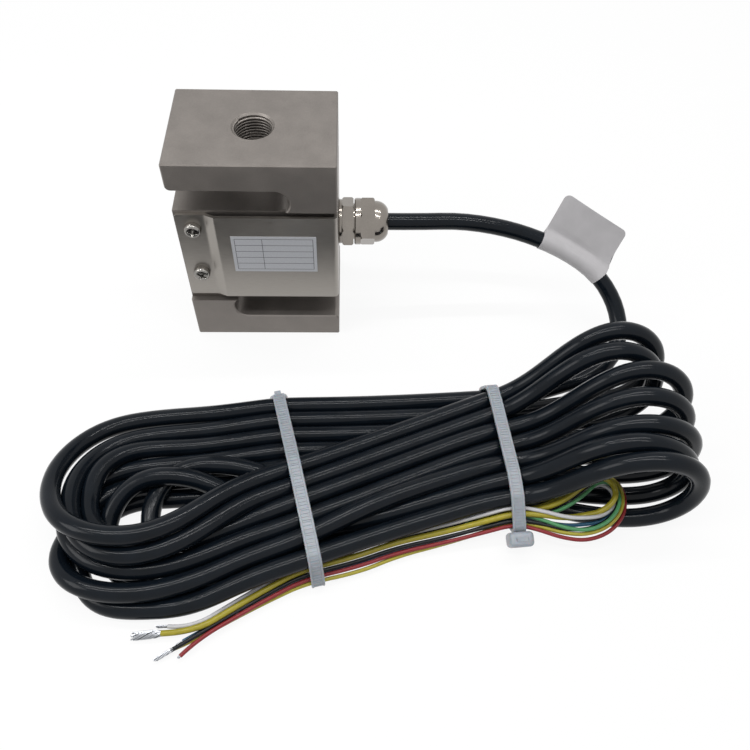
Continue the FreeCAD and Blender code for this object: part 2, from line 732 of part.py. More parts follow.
def core_corners(name):
    """One conductor's corners: the bundle's route, moved by the conductor's place in the bundle."""
    across, up = core_grid[name]
    base = [V(*p) for p in core_route]
    corners = []
    for k, point in enumerate(base):
        incoming = flat_direction(base[max(k - 1, 0)], base[max(k, 1)]) if k else X_AXIS
        outgoing = flat_direction(base[min(k, len(base) - 2)], base[min(k + 1, len(base) - 1)]) if k else X_AXIS
        run = (incoming + outgoing).normalize()
        widen = 1 / run.dot(incoming)
        side = V(-run.y, run.x, 0)
        moved = point + side * across * core_pitch * widen + Z_AXIS * up * core_pitch
        corners.append((moved.x, moved.y, moved.z))
    end_x, end_y = core_ends[name]
    corners.append((end_x, end_y, core_end_height + (up + 0.5) * core_end_rise))
    return corners


def conductor(name):
    radius = shield_radius if name == "shield" else core_radius
    wire, length, tightest = rounded_path(core_corners(name))
    tube = tube_along(wire, radius)
    ideal = math.pi * radius ** 2 * length
    print(f"core_{name}: {length:.1f} mm, tightest radius {tightest:.1f} mm, volume {tube.Volume / ideal:.4f} of ideal")
    return tube


def tinned_ends():
    tips = []
    for name in core_grid:
        corners = core_corners(name)
        end = V(*corners[-1])
        direction = (end - V(*corners[-2])).normalize()
        tips.append(cylinder(tip_radius, end, direction, tip_length))
    return Part.makeCompound(tips)


# ---------------------------------------------------------------- build
def main():
    os.makedirs("parts", exist_ok=True)
    board = bridge_board()
    gauges = {side: gauge(side) for side in (-1, 1)}
    leads = {-1: front_leads(), 1: back_leads()}
    jumpers = gauge_jumpers()
    hank = cable_hank()
    nodes = {
        "beam_body": beam_body(),
        "cover": cover(),
        "cover_screws_front": cover_screws(-1),
        "cover_screws_back": cover_screws(1),
        "label_plate": label_plate(),
        "strain_gauge_front": gauges[-1],
        "strain_gauge_back": gauges[1],
        "bridge_board": board,
        "gauge_jumpers": jumpers,
        "leads_front": leads[-1],
        "leads_back": leads[1],
        "potting_front": potting(-1, (gauges[-1], board, jumpers, leads[-1])),
        "potting_back": potting(1, (gauges[1], leads[1])),
        "gland_washer": gland_washer(),
        "gland_body": gland_body(),
        "gland_claw": gland_claw(),
        "gland_seal": gland_seal(),
        "gland_cap_nut": gland_cap_nut(),
        "cable_inner_end": jacket_inner_end(),
        "cable_lead": cable_lead(hank),
        "cable_hank": hank,
        "cable_tie_left": cable_tie("left", hank),
        "cable_tie_right": cable_tie("right", hank),
        "marker_flag": marker_flag(),
        "tinned_ends": tinned_ends(),
    }
    for name in core_grid:
        nodes[f"core_{name}"] = conductor(name)
    for name, shape in nodes.items():
        if not shape.isValid():
            print(f"{name}: not valid")
        shape.exportStep(f"parts/{name}.step")
        print(f"{name}: {len(shape.Solids)} solid(s), {shape.Volume:.1f} mm3")


main()
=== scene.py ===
"""Looks of an S-shaped load cell with its gland, a tied hank of cable and bared conductors.

Everything is in the frame of the solids: +Z up, metres in Blender. Sizes are written in millimetres and
turned to metres where a mesh or a curve is made.
"""

from __future__ import annotations

import json
import logging
import math
from dataclasses import dataclass
from enum import Enum
from typing import Sequence

import bmesh
import bpy
import numpy as np
from mathutils import Matrix, Vector

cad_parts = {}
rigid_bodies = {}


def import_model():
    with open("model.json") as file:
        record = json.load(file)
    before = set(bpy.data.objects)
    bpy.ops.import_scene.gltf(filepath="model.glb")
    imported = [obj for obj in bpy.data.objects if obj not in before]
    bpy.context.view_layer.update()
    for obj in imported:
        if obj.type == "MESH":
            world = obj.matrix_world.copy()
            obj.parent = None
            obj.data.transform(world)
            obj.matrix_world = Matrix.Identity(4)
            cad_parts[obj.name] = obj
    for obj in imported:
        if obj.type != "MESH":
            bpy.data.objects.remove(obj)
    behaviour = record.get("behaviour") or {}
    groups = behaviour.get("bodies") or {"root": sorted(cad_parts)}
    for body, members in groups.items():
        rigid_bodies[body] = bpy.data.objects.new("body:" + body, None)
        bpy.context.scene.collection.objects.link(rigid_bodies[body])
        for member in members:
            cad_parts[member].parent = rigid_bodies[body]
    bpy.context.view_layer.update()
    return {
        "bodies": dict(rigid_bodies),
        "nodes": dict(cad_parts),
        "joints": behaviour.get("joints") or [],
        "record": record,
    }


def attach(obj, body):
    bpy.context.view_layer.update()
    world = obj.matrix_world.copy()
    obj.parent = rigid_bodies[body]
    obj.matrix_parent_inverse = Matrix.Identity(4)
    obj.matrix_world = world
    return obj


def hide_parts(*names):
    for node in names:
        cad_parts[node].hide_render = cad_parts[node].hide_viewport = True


LOG = logging.getLogger("load_cell")
MM = 0.001
CABLE_RADIUS = 2.9
CORE_RADIUS = 0.6
SHIELD_RADIUS = 0.9
TIE_MIDDLE = -79.0
TIE_STRAP = 1.2
Colour = tuple[float, float, float]
Point = tuple[float, float, float]


class TiePlace(Enum):
    """Where a tie's plane crosses the hank's middle line, along x, and how far it is turned, in degrees."""

    LEFT = (12.0, 13.0)
    RIGHT = (78.4, 5.0)


# ---------------------------------------------------------------- shared makers
def mesh_object(name: str, points: Sequence[Sequence[float]], faces: Sequence[Sequence[int]],
                smooth: bool = True) -> bpy.types.Object:
    """Makes a closed mesh with its faces outwards.

    Args:
        name: The object's name.
        points: Vertices in millimetres.
        faces: Corner numbers of each face.
        smooth: True for smooth shading with sharp edges kept over 35 degrees.

    Returns:
        The linked object.
    """
    mesh = bpy.data.meshes.new(name)
    mesh.from_pydata([tuple(float(c) * MM for c in p) for p in points], [], [tuple(f) for f in faces])
    work = bmesh.new()
    work.from_mesh(mesh)
    bmesh.ops.remove_doubles(work, verts=work.verts, dist=1e-7)
    bmesh.ops.recalc_face_normals(work, faces=work.faces)
    work.to_mesh(mesh)
    work.free()
    obj = bpy.data.objects.new(name, mesh)
    bpy.context.scene.collection.objects.link(obj)
    if smooth:
        mesh.polygons.foreach_set("use_smooth", [True] * len(mesh.polygons))
        mesh.set_sharp_from_angle(angle=math.radians(35))
    return obj


def cord_curve(name: str, points: Sequence[Point], resolution: int) -> bpy.types.Object:
    """Makes one open NURBS spline whose control points are the route's own points.

    Args:
        name: The object's name.
        points: Control points in millimetres.
        resolution: Steps of the curve between two control points.

    Returns:
        The linked curve, still without thickness.
    """
    curve = bpy.data.curves.new(name, "CURVE")
    curve.dimensions = "3D"
    curve.resolution_u = resolution
    spline = curve.splines.new("NURBS")
    spline.points.add(len(points) - 1)
    for knot, point in zip(spline.points, points):
        knot.co = (point[0] * MM, point[1] * MM, point[2] * MM, 1.0)
    spline.order_u = 3
    spline.use_endpoint_u = True
    obj = bpy.data.objects.new(name, curve)
    bpy.context.scene.collection.objects.link(obj)
    return obj


def centre_line(obj: bpy.types.Object) -> np.ndarray:
    """Reads the line that a cord's spline follows, before the cord gets its thickness.

    Args:
        obj: The curve, still without thickness.

    Returns:
        The line's points in millimetres.
    """
    bpy.context.view_layer.update()
    mesh = bpy.data.meshes.new_from_object(obj)
    line = np.array([v.co for v in mesh.vertices], float) / MM
    bpy.data.meshes.remove(mesh)
    return line


def thicken(obj: bpy.types.Object, radius: float, sides: int) -> None:
    """Gives a cord its round section, with closed ends.

    Args:
        obj: The curve.
        radius: The cord's radius in millimetres.
        sides: The resolution of its section.
    """
    obj.data.bevel_depth = radius * MM
    obj.data.bevel_resolution = sides
    obj.data.use_fill_caps = True


def line_length(line: np.ndarray) -> float:
    """Length of a line of points."""
    return float(np.linalg.norm(np.diff(line, axis=0), axis=1).sum())


def distances(line: np.ndarray) -> np.ndarray:
    """How far along a line each of its points is."""
    return np.r_[0, np.cumsum(np.linalg.norm(np.diff(line, axis=0), axis=1))]


def points_at(line: np.ndarray, places: np.ndarray | float) -> np.ndarray:
    """The points of a line at given distances from its start."""
    along = distances(line)
    return np.stack([np.interp(places, along, line[:, k]) for k in range(line.shape[1])], -1)


def swept(sections: Sequence[Sequence[np.ndarray]], closed: bool) -> tuple[list, list]:
    """Joins equal rings of points into a skin.

    Args:
        sections: One ring of points for each station.
        closed: True if the last station joins the first, else both ends are capped.

    Returns:
        The vertices and the faces.
    """
    count, around = len(sections), len(sections[0])
    points = [p for ring in sections for p in ring]
    faces = []
    for k in range(count if closed else count - 1):
        here, there = k * around, ((k + 1) % count) * around
        for j in range(around):
            n = (j + 1) % around
            faces.append((here + j, here + n, there + n, there + j))
    if not closed:
        faces.append(tuple(range(around)))
        faces.append(tuple(range((count - 1) * around, count * around)))
    return points, faces


def give(obj: bpy.types.Object, material: bpy.types.Material) -> None:
    """Puts a material on a piece.

    Args:
        obj: The piece.
        material: Its finish.
    """
    obj.data.materials.clear()
    obj.data.materials.append(material)


def settle(obj: bpy.types.Object) -> None:
    """Lets a finished piece ride on the part's one body and reports it."""
    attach(obj, "root")
    LOG.info("piece %s", obj.name)


# ---------------------------------------------------------------- geometry node trees
class GeometryTree:
    """A geometry node tree with named inputs, turned into a plain mesh once it has run."""

    def __init__(self, name: str, inputs: Sequence[tuple[str, str, object]]) -> None:
        """Starts the tree.

        Args:
            name: The tree's name.
            inputs: Name, socket type and default of each input. A default of None is left open.
        """
        self.group = bpy.data.node_groups.new(name, "GeometryNodeTree")
        face = self.group.interface
        face.new_socket("Geometry", in_out="INPUT", socket_type="NodeSocketGeometry")
        for label, kind, default in inputs:
            socket = face.new_socket(label, in_out="INPUT", socket_type=kind)
            if default is not None:
                socket.default_value = default
        face.new_socket("Material", in_out="INPUT", socket_type="NodeSocketMaterial")
        face.new_socket("Geometry", in_out="OUTPUT", socket_type="NodeSocketGeometry")
        self.start = self.node("NodeGroupInput")
        self.end = self.node("NodeGroupOutput")

    def node(self, kind: str, **settings: object) -> bpy.types.Node:
        """Adds a node and sets its options.

        Args:
            kind: The node's type.
            settings: The options by name.

        Returns:
            The node.
        """
        made = self.group.nodes.new(kind)
        for key, value in settings.items():
            setattr(made, key, value)
        return made

    def link(self, source: bpy.types.NodeSocket, target: bpy.types.NodeSocket) -> None:
        """Joins two sockets."""
        self.group.links.new(source, target)

    def close(self, geometry: bpy.types.NodeSocket) -> None:
        """Ends the tree with real geometry and its material.

        Args:
            geometry: The socket that gives the finished shape.
        """
        real = self.node("GeometryNodeRealizeInstances")
        painted = self.node("GeometryNodeSetMaterial")
        self.link(geometry, real.inputs["Geometry"])
        self.link(real.outputs["Geometry"], painted.inputs["Geometry"])
        self.link(self.start.outputs["Material"], painted.inputs["Material"])
        self.link(painted.outputs["Geometry"], self.end.inputs["Geometry"])

    def run(self, name: str, seeds: bpy.types.Mesh, values: dict[str, object]) -> bpy.types.Object:
        """Runs the tree on a mesh of seed points.

        Args:
            name: The finished object's name.
            seeds: The mesh that the tree starts from.
            values: The inputs' values by name.

        Returns:
            The linked object with a plain mesh and no modifier.
        """
        obj = bpy.data.objects.new(name, seeds)
        bpy.context.scene.collection.objects.link(obj)
        modifier = obj.modifiers.new("tree", "NODES")
        modifier.node_group = self.group
        for item in self.group.interface.items_tree:
            if item.item_type == "SOCKET" and item.in_out == "INPUT" and item.name in values:
                modifier[item.identifier] = values[item.name]
        bpy.context.view_layer.update()
        graph = bpy.context.evaluated_depsgraph_get()
        result = bpy.data.meshes.new_from_object(obj.evaluated_get(graph), preserve_all_data_layers=True,
                                                 depsgraph=graph)
        obj.modifiers.remove(modifier)
        obj.data = result
        result.name = name
        return obj


def seed_mesh(name: str, points: Sequence[Sequence[float]], vectors: dict[str, Sequence[Sequence[float]]]
              ) -> bpy.types.Mesh:
    """Makes loose points that carry named vectors for a tree to read.

    Args:
        name: The mesh's name.
        points: The points in millimetres.
        vectors: A row of vectors, one for each point, by name.

    Returns:
        The mesh.
    """
    mesh = bpy.data.meshes.new(name)
    mesh.from_pydata([tuple(float(c) * MM for c in p) for p in points], [], [])
    for label, rows in vectors.items():
        layer = mesh.attributes.new(label, "FLOAT_VECTOR", "POINT")
        layer.data.foreach_set("vector", [float(c) for row in rows for c in row])
    return mesh


# ---------------------------------------------------------------- finishes
class Shader:
    """One node material, built up step by step on the object's own coordinates."""

    def __init__(self, name: str) -> None:
        """Starts a material with a Principled shader.

        Args:
            name: The material's name.
        """
        self.material = bpy.data.materials.new(name)
        self.material.use_nodes = True
        self.tree = self.material.node_tree
        self.surface = self.tree.nodes["Principled BSDF"]
        self.place = self.node("ShaderNodeTexCoord").outputs["Object"]

    def node(self, kind: str, **settings: object) -> bpy.types.Node:
        """Adds a node and sets its options.

        Args:
            kind: The node's type.
            settings: The options by name.

        Returns:
            The node.
        """
        made = self.tree.nodes.new(kind)
        for key, value in settings.items():
            setattr(made, key, value)
        return made

    def link(self, source: bpy.types.NodeSocket, target: bpy.types.NodeSocket) -> None:
        """Joins two sockets."""
        self.tree.links.new(source, target)

    def noise(self, size_mm: float, detail: float = 3.0, stretch: Point = (1.0, 1.0, 1.0)
              ) -> bpy.types.NodeSocket:
        """Adds noise on the object's own coordinates.

        Args:
            size_mm: How far across its features are.
            detail: How many finer layers it has.
            stretch: Under 1 along an axis on which the features are drawn out.

        Returns:
            The noise's value.
        """
        mapping = self.node("ShaderNodeMapping")
        mapping.inputs["Scale"].default_value = stretch
        self.link(self.place, mapping.inputs["Vector"])
        made = self.node("ShaderNodeTexNoise")
        made.inputs["Scale"].default_value = 1.0 / (size_mm * MM)
        made.inputs["Detail"].default_value = detail
        self.link(mapping.outputs["Vector"], made.inputs["Vector"])
        return made.outputs["Fac"]

    def span(self, value: bpy.types.NodeSocket, low: float, high: float) -> bpy.types.NodeSocket:
        """Stretches a noise value over a range.

        Args:
            value: The noise.
            low: The least result.
            high: The greatest result.

        Returns:
            The stretched value.
        """
        made = self.node("ShaderNodeMapRange")
        made.inputs["From Min"].default_value = 0.3
        made.inputs["From Max"].default_value = 0.7
        made.inputs["To Min"].default_value = low
        made.inputs["To Max"].default_value = high
        self.link(value, made.inputs["Value"])
        return made.outputs["Result"]

    def math(self, operation: str, *values: object) -> bpy.types.NodeSocket:
        """Adds a Math node.

        Args:
            operation: What it works out.
            values: Its inputs, as sockets or numbers.

        Returns:
            Its result.
        """
        made = self.node("ShaderNodeMath", operation=operation)
        for socket, value in zip(made.inputs, values):
            if isinstance(value, (int, float)):
                socket.default_value = value
            else:
                self.link(value, socket)
        return made.outputs["Value"]

    def mix(self, factor: bpy.types.NodeSocket, first: object, second: object) -> bpy.types.NodeSocket:
        """Blends two colours.

        Args:
            factor: The second one's share.
            first: A colour or a socket.
            second: A colour or a socket.

        Returns:
            The blend.
        """
        made = self.node("ShaderNodeMix", data_type="RGBA")
        self.link(factor, made.inputs["Factor"])
        for key, value in ((6, first), (7, second)):
            if isinstance(value, tuple):
                made.inputs[key].default_value = (*value, 1.0)
            else:
                self.link(value, made.inputs[key])
        return made.outputs[2]

    def bump(self, height: bpy.types.NodeSocket, depth_mm: float, strength: float = 0.6) -> None:
        """Raises the surface by a noise.

        Args:
            height: The noise.
            depth_mm: How high it goes.
            strength: How strongly it shows.
        """
        made = self.node("ShaderNodeBump")
        made.inputs["Strength"].default_value = strength
        made.inputs["Distance"].default_value = depth_mm * MM
        self.link(height, made.inputs["Height"])
        self.link(made.outputs["Normal"], self.surface.inputs["Normal"])

    def set(self, **values: object) -> None:
        """Sets sockets of the shader that are the same all over.

        Args:
            values: Numbers or colours by the socket's name, with _ for a space.
        """
        for key, value in values.items():
            socket = self.surface.inputs[key.replace("_", " ")]
            socket.default_value = (*value, 1.0) if isinstance(value, tuple) and len(value) == 3 \
                and len(socket.default_value) == 4 else value


def scaled(colour: Colour, by: float) -> Colour:
    """A colour made lighter or darker, kept within 0 to 1."""
    return tuple(min(1.0, c * by) for c in colour)


@dataclass(frozen=True)
class SatinMetal:
    """Plated or brushed metal: fine grain, faint clouds and, where it is brushed, drawn-out streaks."""

    name: str
    colour: Colour
    roughness: float
    metallic: float = 1.0
    grain_mm: float = 0.25
    cloud_mm: float = 9.0
    contrast: float = 0.10
    stretch: Point = (1.0, 1.0, 1.0)
    bump_mm: float = 0.006
    grain_share: float = 0.6
    uneven: tuple[float, float] = (0.05, 0.06)

    def build(self) -> bpy.types.Material:
        """Builds the finish.

        Returns:
            The material.
        """
        shader = Shader(self.name)
        grain = shader.noise(self.grain_mm, 4.0, self.stretch)
        clouds = shader.noise(self.cloud_mm, 3.0)
        both = shader.math("ADD", shader.math("MULTIPLY", grain, self.grain_share),
                           shader.math("MULTIPLY", clouds, 1.0 - self.grain_share))
        tone = shader.mix(shader.span(both, 0.0, 1.0), scaled(self.colour, 1.0 - self.contrast),
                          scaled(self.colour, 1.0 + self.contrast))
        shader.link(tone, shader.surface.inputs["Base Color"])
        shader.link(shader.span(both, self.roughness - self.uneven[0], self.roughness + self.uneven[1]),
                    shader.surface.inputs["Roughness"])
        shader.bump(grain, self.bump_mm)
        shader.set(Metallic=self.metallic)
        return shader.material


@dataclass(frozen=True)
class Moulded:
    """Plastic, rubber or silicone with a faint mottle, an uneven gloss and a soft surface."""

    name: str
    colour: Colour
    roughness: float
    specular: float = 0.5
    mottle_mm: float = 2.0
    contrast: float = 0.12
    bump_mm: float = 0.01
    subsurface: float = 0.0
    transmission: float = 0.0
    fine_share: float = 0.12
    uneven: float = 0.06
    least_roughness: float = 0.02

    def build(self) -> bpy.types.Material:
        """Builds the finish.

        Returns:
            The material.
        """
        shader = Shader(self.name)
        mottle = shader.noise(self.mottle_mm, 4.0)
        fine = shader.noise(self.mottle_mm * self.fine_share, 2.0)
        tone = shader.mix(shader.span(mottle, 0.0, 1.0), scaled(self.colour, 1.0 - self.contrast),
                          scaled(self.colour, 1.0 + self.contrast))
        shader.link(tone, shader.surface.inputs["Base Color"])
        least = max(self.least_roughness, self.roughness - self.uneven)
        shader.link(shader.span(fine, least, self.roughness + self.uneven),
                    shader.surface.inputs["Roughness"])
        shader.bump(mottle, self.bump_mm)
        shader.set(Specular_IOR_Level=self.specular, Subsurface_Weight=self.subsurface,
                   Subsurface_Scale=0.0015, Transmission_Weight=self.transmission)
        return shader.material


@dataclass(frozen=True)
class RatingFoil:
    """Silvery label foil with plain ruled lines: a frame, rows and one column."""

    name: str
    centre: tuple[float, float]
    half: tuple[float, float]
    margin: float = 1.1
    rows: int = 5
    column: float = -0.3
    line_mm: float = 0.09
    foil: tuple[Colour, Colour] = ((0.47, 0.48, 0.51), (0.56, 0.57, 0.60))
    ink: Colour = (0.09, 0.09, 0.10)
    roughness: tuple[float, float] = (0.42, 0.54)
    metallic: float = 0.25

    def build(self) -> bpy.types.Material:
        """Builds the finish.

        Returns:
            The material.
        """
        shader = Shader(self.name)
        split = shader.node("ShaderNodeSeparateXYZ")
        shader.link(shader.place, split.inputs[0])
        across, up = split.outputs["X"], split.outputs["Z"]
        wide, high = self.half[0] - self.margin, self.half[1] - self.margin
        inside = shader.math("MULTIPLY",
                             shader.math("COMPARE", across, self.centre[0] * MM, (wide + self.line_mm) * MM),
                             shader.math("COMPARE", up, self.centre[1] * MM, (high + self.line_mm) * MM))
        lines = [shader.math("COMPARE", across, (self.centre[0] + k) * MM, self.line_mm * MM)
                 for k in (-wide, wide, wide * self.column)]
        lines += [shader.math("COMPARE", up, (self.centre[1] - high + 2 * high * k / self.rows) * MM,
                              self.line_mm * MM) for k in range(self.rows + 1)]
        ruled = lines[0]
        for line in lines[1:]:
            ruled = shader.math("MAXIMUM", ruled, line)
        grain = shader.noise(0.4, 3.0)
        foil = shader.mix(shader.span(grain, 0.0, 1.0), *self.foil)
        shader.link(shader.mix(shader.math("MULTIPLY", ruled, inside), foil, self.ink),
                    shader.surface.inputs["Base Color"])
        shader.link(shader.span(grain, *self.roughness), shader.surface.inputs["Roughness"])
        shader.bump(grain, 0.004)
        shader.set(Metallic=self.metallic)
        return shader.material


class Finishes:
    """All the part's finishes by the record's slot names."""

    METALS = (
        SatinMetal("beam_steel", (0.202, 0.184, 0.169), 0.44, 0.80, 0.22, 7.0, 0.17, (1.0, 1.0, 0.7), 0.010),
        SatinMetal("cover_steel", (0.335, 0.313, 0.287), 0.34, 0.90, 0.35, 12.0, 0.07,
                   (0.12, 1.0, 1.0), 0.004),
        SatinMetal("screw_steel", (0.26, 0.25, 0.235), 0.22, 1.0, 0.3, 3.0, 0.12),
        SatinMetal("gland_nickel", (0.25, 0.228, 0.205), 0.17, 1.0, 0.3, 4.0, 0.10),
        SatinMetal("fine_copper", (0.62, 0.32, 0.20), 0.30, 1.0, 0.2, 2.0, 0.12),
        SatinMetal("tin", (0.34, 0.35, 0.37), 0.32, 0.9, 0.12, 1.0, 0.20),
    )
    PLASTICS = (
        Moulded("gauge_film", (0.62, 0.30, 0.06), 0.35),
        Moulded("board_green", (0.05, 0.22, 0.09), 0.35),
        Moulded("lead_insulation", (0.62, 0.60, 0.55), 0.45),
        Moulded("potting_silicone", (0.72, 0.72, 0.70), 0.40, 0.4, 3.0, 0.06, 0.05, 0.2),
        Moulded("claw_plastic", (0.012, 0.012, 0.012), 0.45),
        Moulded("seal_rubber", (0.010, 0.010, 0.010), 0.60, 0.3),
        Moulded("cable_jacket", (0.0036, 0.0058, 0.0090), 0.17, 0.16, 6.0, 0.18, 0.05),
        Moulded("tie_nylon", (0.37, 0.40, 0.44), 0.36, 0.4, 1.5, 0.06, 0.02, 0.2, 0.22),
        Moulded("flag_paper", (0.42, 0.41, 0.42), 0.42, 0.3, 5.0, 0.05, 0.03),
        Moulded("core_white", (0.50, 0.50, 0.51), 0.38, 0.35, 1.2, 0.06),
        Moulded("core_yellow", (0.33, 0.29, 0.030), 0.36, 0.35, 1.2, 0.10),
        Moulded("core_green", (0.065, 0.235, 0.095), 0.36, 0.35, 1.2, 0.10),
        Moulded("core_black", (0.006, 0.007, 0.009), 0.34, 0.25, 1.2, 0.10),
        Moulded("core_blue", (0.016, 0.085, 0.16), 0.36, 0.35, 1.2, 0.10),
        Moulded("core_red", (0.21, 0.018, 0.022), 0.36, 0.30, 1.2, 0.10),
        Moulded("core_shield", (0.31, 0.265, 0.022), 0.32, 0.35, 1.6, 0.10),
    )

    def __init__(self) -> None:
        """Builds every finish once."""
        self.made = {f.name: f.build() for f in (*self.METALS, *self.PLASTICS)}
        self.made["label_foil"] = RatingFoil("label_foil", (5.0, 40.6), (13.5, 7.8)).build()

    def __getitem__(self, slot: str) -> bpy.types.Material:
        """The material of a slot."""
        return self.made[slot]

    def dress(self, frame: dict) -> None:
        """Gives every solid its slot's material.

        Args:
            frame: The part's solids and record.
        """
        for row in frame["record"]["subparts"]:
            obj = frame["nodes"][row["node"]]
            obj.data.materials.clear()
            obj.data.materials.append(self.made[row["material_slot"]])
            LOG.info("solid %s: %s", row["node"], row["material_slot"])


# ---------------------------------------------------------------- studio
@dataclass
class StudioCamera:
    """The camera, by its place and its three angles."""

    place: Point = (28.8612, -196.4281, 222.3903)
    elevation: float = 54.32897
    azimuth: float = -3.32019
    roll: float = 2.77750
    lens: float = 37.245

    def build(self) -> None:
        """Makes it the scene's camera."""
        rise, turn, roll = (math.radians(a) for a in (self.elevation, self.azimuth, self.roll))
        ahead = Vector((-math.sin(turn) * math.cos(rise), math.cos(turn) * math.cos(rise), -math.sin(rise)))
        right = Vector((math.cos(turn), math.sin(turn), 0.0))
        down = ahead.cross(right)
        level = right * math.cos(roll) - down * math.sin(roll)
        fall = right * math.sin(roll) + down * math.cos(roll)
        data = bpy.data.cameras.new("camera")
        data.lens = self.lens
        data.sensor_width = 36.0
        data.clip_start, data.clip_end = 0.01, 20.0
        camera = bpy.data.objects.new("camera", data)
        bpy.context.scene.collection.objects.link(camera)
        axes = Matrix((level, -fall, -ahead)).transposed().to_4x4()
        camera.matrix_world = Matrix.Translation(Vector(self.place) * MM) @ axes
        bpy.context.scene.camera = camera


@dataclass(frozen=True)
class Softbox:
    """One soft lamp that looks at a point."""

    name: str
    place: Point
    aim: Point
    size: tuple[float, float]
    power: float

    def build(self) -> None:
        """Makes the lamp."""
        data = bpy.data.lights.new(self.name, "AREA")
        data.shape = "RECTANGLE"
        data.size, data.size_y = self.size
        data.energy = self.power
        lamp = bpy.data.objects.new(self.name, data)
        bpy.context.scene.collection.objects.link(lamp)
        lamp.location = self.place
        lamp.rotation_mode = "QUATERNION"
        lamp.rotation_quaternion = (Vector(self.aim) - Vector(self.place)).to_track_quat("-Z", "Y")


@dataclass
class Studio:
    """Pale floor, white surroundings and soft lamps."""

    floor_half: float = 3.0
    floor_tone: float = 0.86
    floor_glow: float = 0.90
    fill: float = 0.42
    boxes: tuple[Softbox, ...] = (
        Softbox("strip_over", (0.02, 0.12, 0.62), (0.03, -0.06, 0.0), (0.80, 0.014), 2.0),
        Softbox("strip_front", (0.02, -0.16, 0.66), (0.03, -0.07, 0.0), (0.80, 0.014), 1.7),
        Softbox("side", (-0.65, -0.25, 0.55), (0.02, -0.04, 0.02), (0.40, 0.40), 2.0),
    )

    def build(self) -> None:
        """Makes the floor, the world and the lamps."""
        half = self.floor_half
        mesh = bpy.data.meshes.new("studio_floor")
        mesh.from_pydata([(x * half, y * half, -2e-4) for x, y in ((-1, -1), (1, -1), (1, 1), (-1, 1))],
                         [], [(0, 1, 2, 3)])
        floor = bpy.data.objects.new("studio_floor", mesh)
        bpy.context.scene.collection.objects.link(floor)
        mesh.materials.append(self.floor_finish())
        self.world()
        for box in self.boxes:
            box.build()

    @staticmethod
    def seen(tree: bpy.types.NodeTree) -> bpy.types.NodeSocket:
        """Tells rays that see the surroundings from rays that only light the part.

        Args:
            tree: The node tree to work in.

        Returns:
            1 for rays from the camera, off gloss or through glass, else 0.
        """
        path = tree.nodes.new("ShaderNodeLightPath")
        first = tree.nodes.new("ShaderNodeMath")
        second = tree.nodes.new("ShaderNodeMath")
        first.operation = second.operation = "MAXIMUM"
        tree.links.new(path.outputs["Is Camera Ray"], first.inputs[0])
        tree.links.new(path.outputs["Is Glossy Ray"], first.inputs[1])
        tree.links.new(first.outputs[0], second.inputs[0])
        tree.links.new(path.outputs["Is Transmission Ray"], second.inputs[1])
        return second.outputs[0]

    def floor_finish(self) -> bpy.types.Material:
        """White floor that still takes a soft shadow.

        Returns:
            The material.
        """
        material = bpy.data.materials.new("studio_floor")
        material.use_nodes = True
        tree = material.node_tree
        tree.nodes.clear()
        out = tree.nodes.new("ShaderNodeOutputMaterial")
        mix = tree.nodes.new("ShaderNodeMixShader")
        matt = tree.nodes.new("ShaderNodeBsdfDiffuse")
        glow = tree.nodes.new("ShaderNodeEmission")
        matt.inputs["Color"].default_value = (self.floor_tone, self.floor_tone, self.floor_tone, 1)
        share = tree.nodes.new("ShaderNodeMath")
        share.operation = "MULTIPLY"
        share.inputs[1].default_value = self.floor_glow
        tree.links.new(self.seen(tree), share.inputs[0])
        tree.links.new(share.outputs[0], mix.inputs[0])
        tree.links.new(matt.outputs[0], mix.inputs[1])
        tree.links.new(glow.outputs[0], mix.inputs[2])
        tree.links.new(mix.outputs[0], out.inputs[0])
        return material

    def world(self) -> None:
        """White to the eye and in reflections, a plain level of light otherwise."""
        world = bpy.data.worlds.new("studio")
        bpy.context.scene.world = world
        world.use_nodes = True
        tree = world.node_tree
        tree.nodes.clear()
        out = tree.nodes.new("ShaderNodeOutputWorld")
        mix = tree.nodes.new("ShaderNodeMixShader")
        fill = tree.nodes.new("ShaderNodeBackground")
        white = tree.nodes.new("ShaderNodeBackground")
        fill.inputs["Strength"].default_value = self.fill
        white.inputs["Strength"].default_value = 1.0
        for shade in (fill, white):
            shade.inputs["Color"].default_value = (1, 1, 1, 1)
        tree.links.new(self.seen(tree), mix.inputs[0])
        tree.links.new(fill.outputs[0], mix.inputs[1])
        tree.links.new(white.outputs[0], mix.inputs[2])
        tree.links.new(mix.outputs[0], out.inputs[0])


# ---------------------------------------------------------------- conductors
@dataclass(frozen=True)
class Lane:
    """A conductor's place in the bundle, as (outwards, up) in mm at each of the route's stretches."""

    start: tuple[float, float]
    far: tuple[float, float]
    right: tuple[float, float]
    near: tuple[float, float]
    tie: tuple[float, float]
    run: tuple[float, float]
    fan: tuple[float, float]

    def at(self, station: int) -> tuple[float, float]:
        """Blends the places between the stretches.

        Args:
            station: The number of one of the route's points.

        Returns:
            The place there.
        """
        knots = (0, 2, 5, 8, 10, 13, 17, 21)
        rows = (self.start, self.start, self.far, self.right, self.near, self.tie, self.run, self.fan)
        return tuple(float(np.interp(station, knots, [row[k] for row in rows])) for k in (0, 1))


@dataclass(frozen=True)
class Wire:
    """One conductor: its colour, lane, loose end, radius, and the length and radius of its bared strands."""

    colour: str
    lane: Lane
    end: Point
    radius: float
    bared: float
    bundle: float


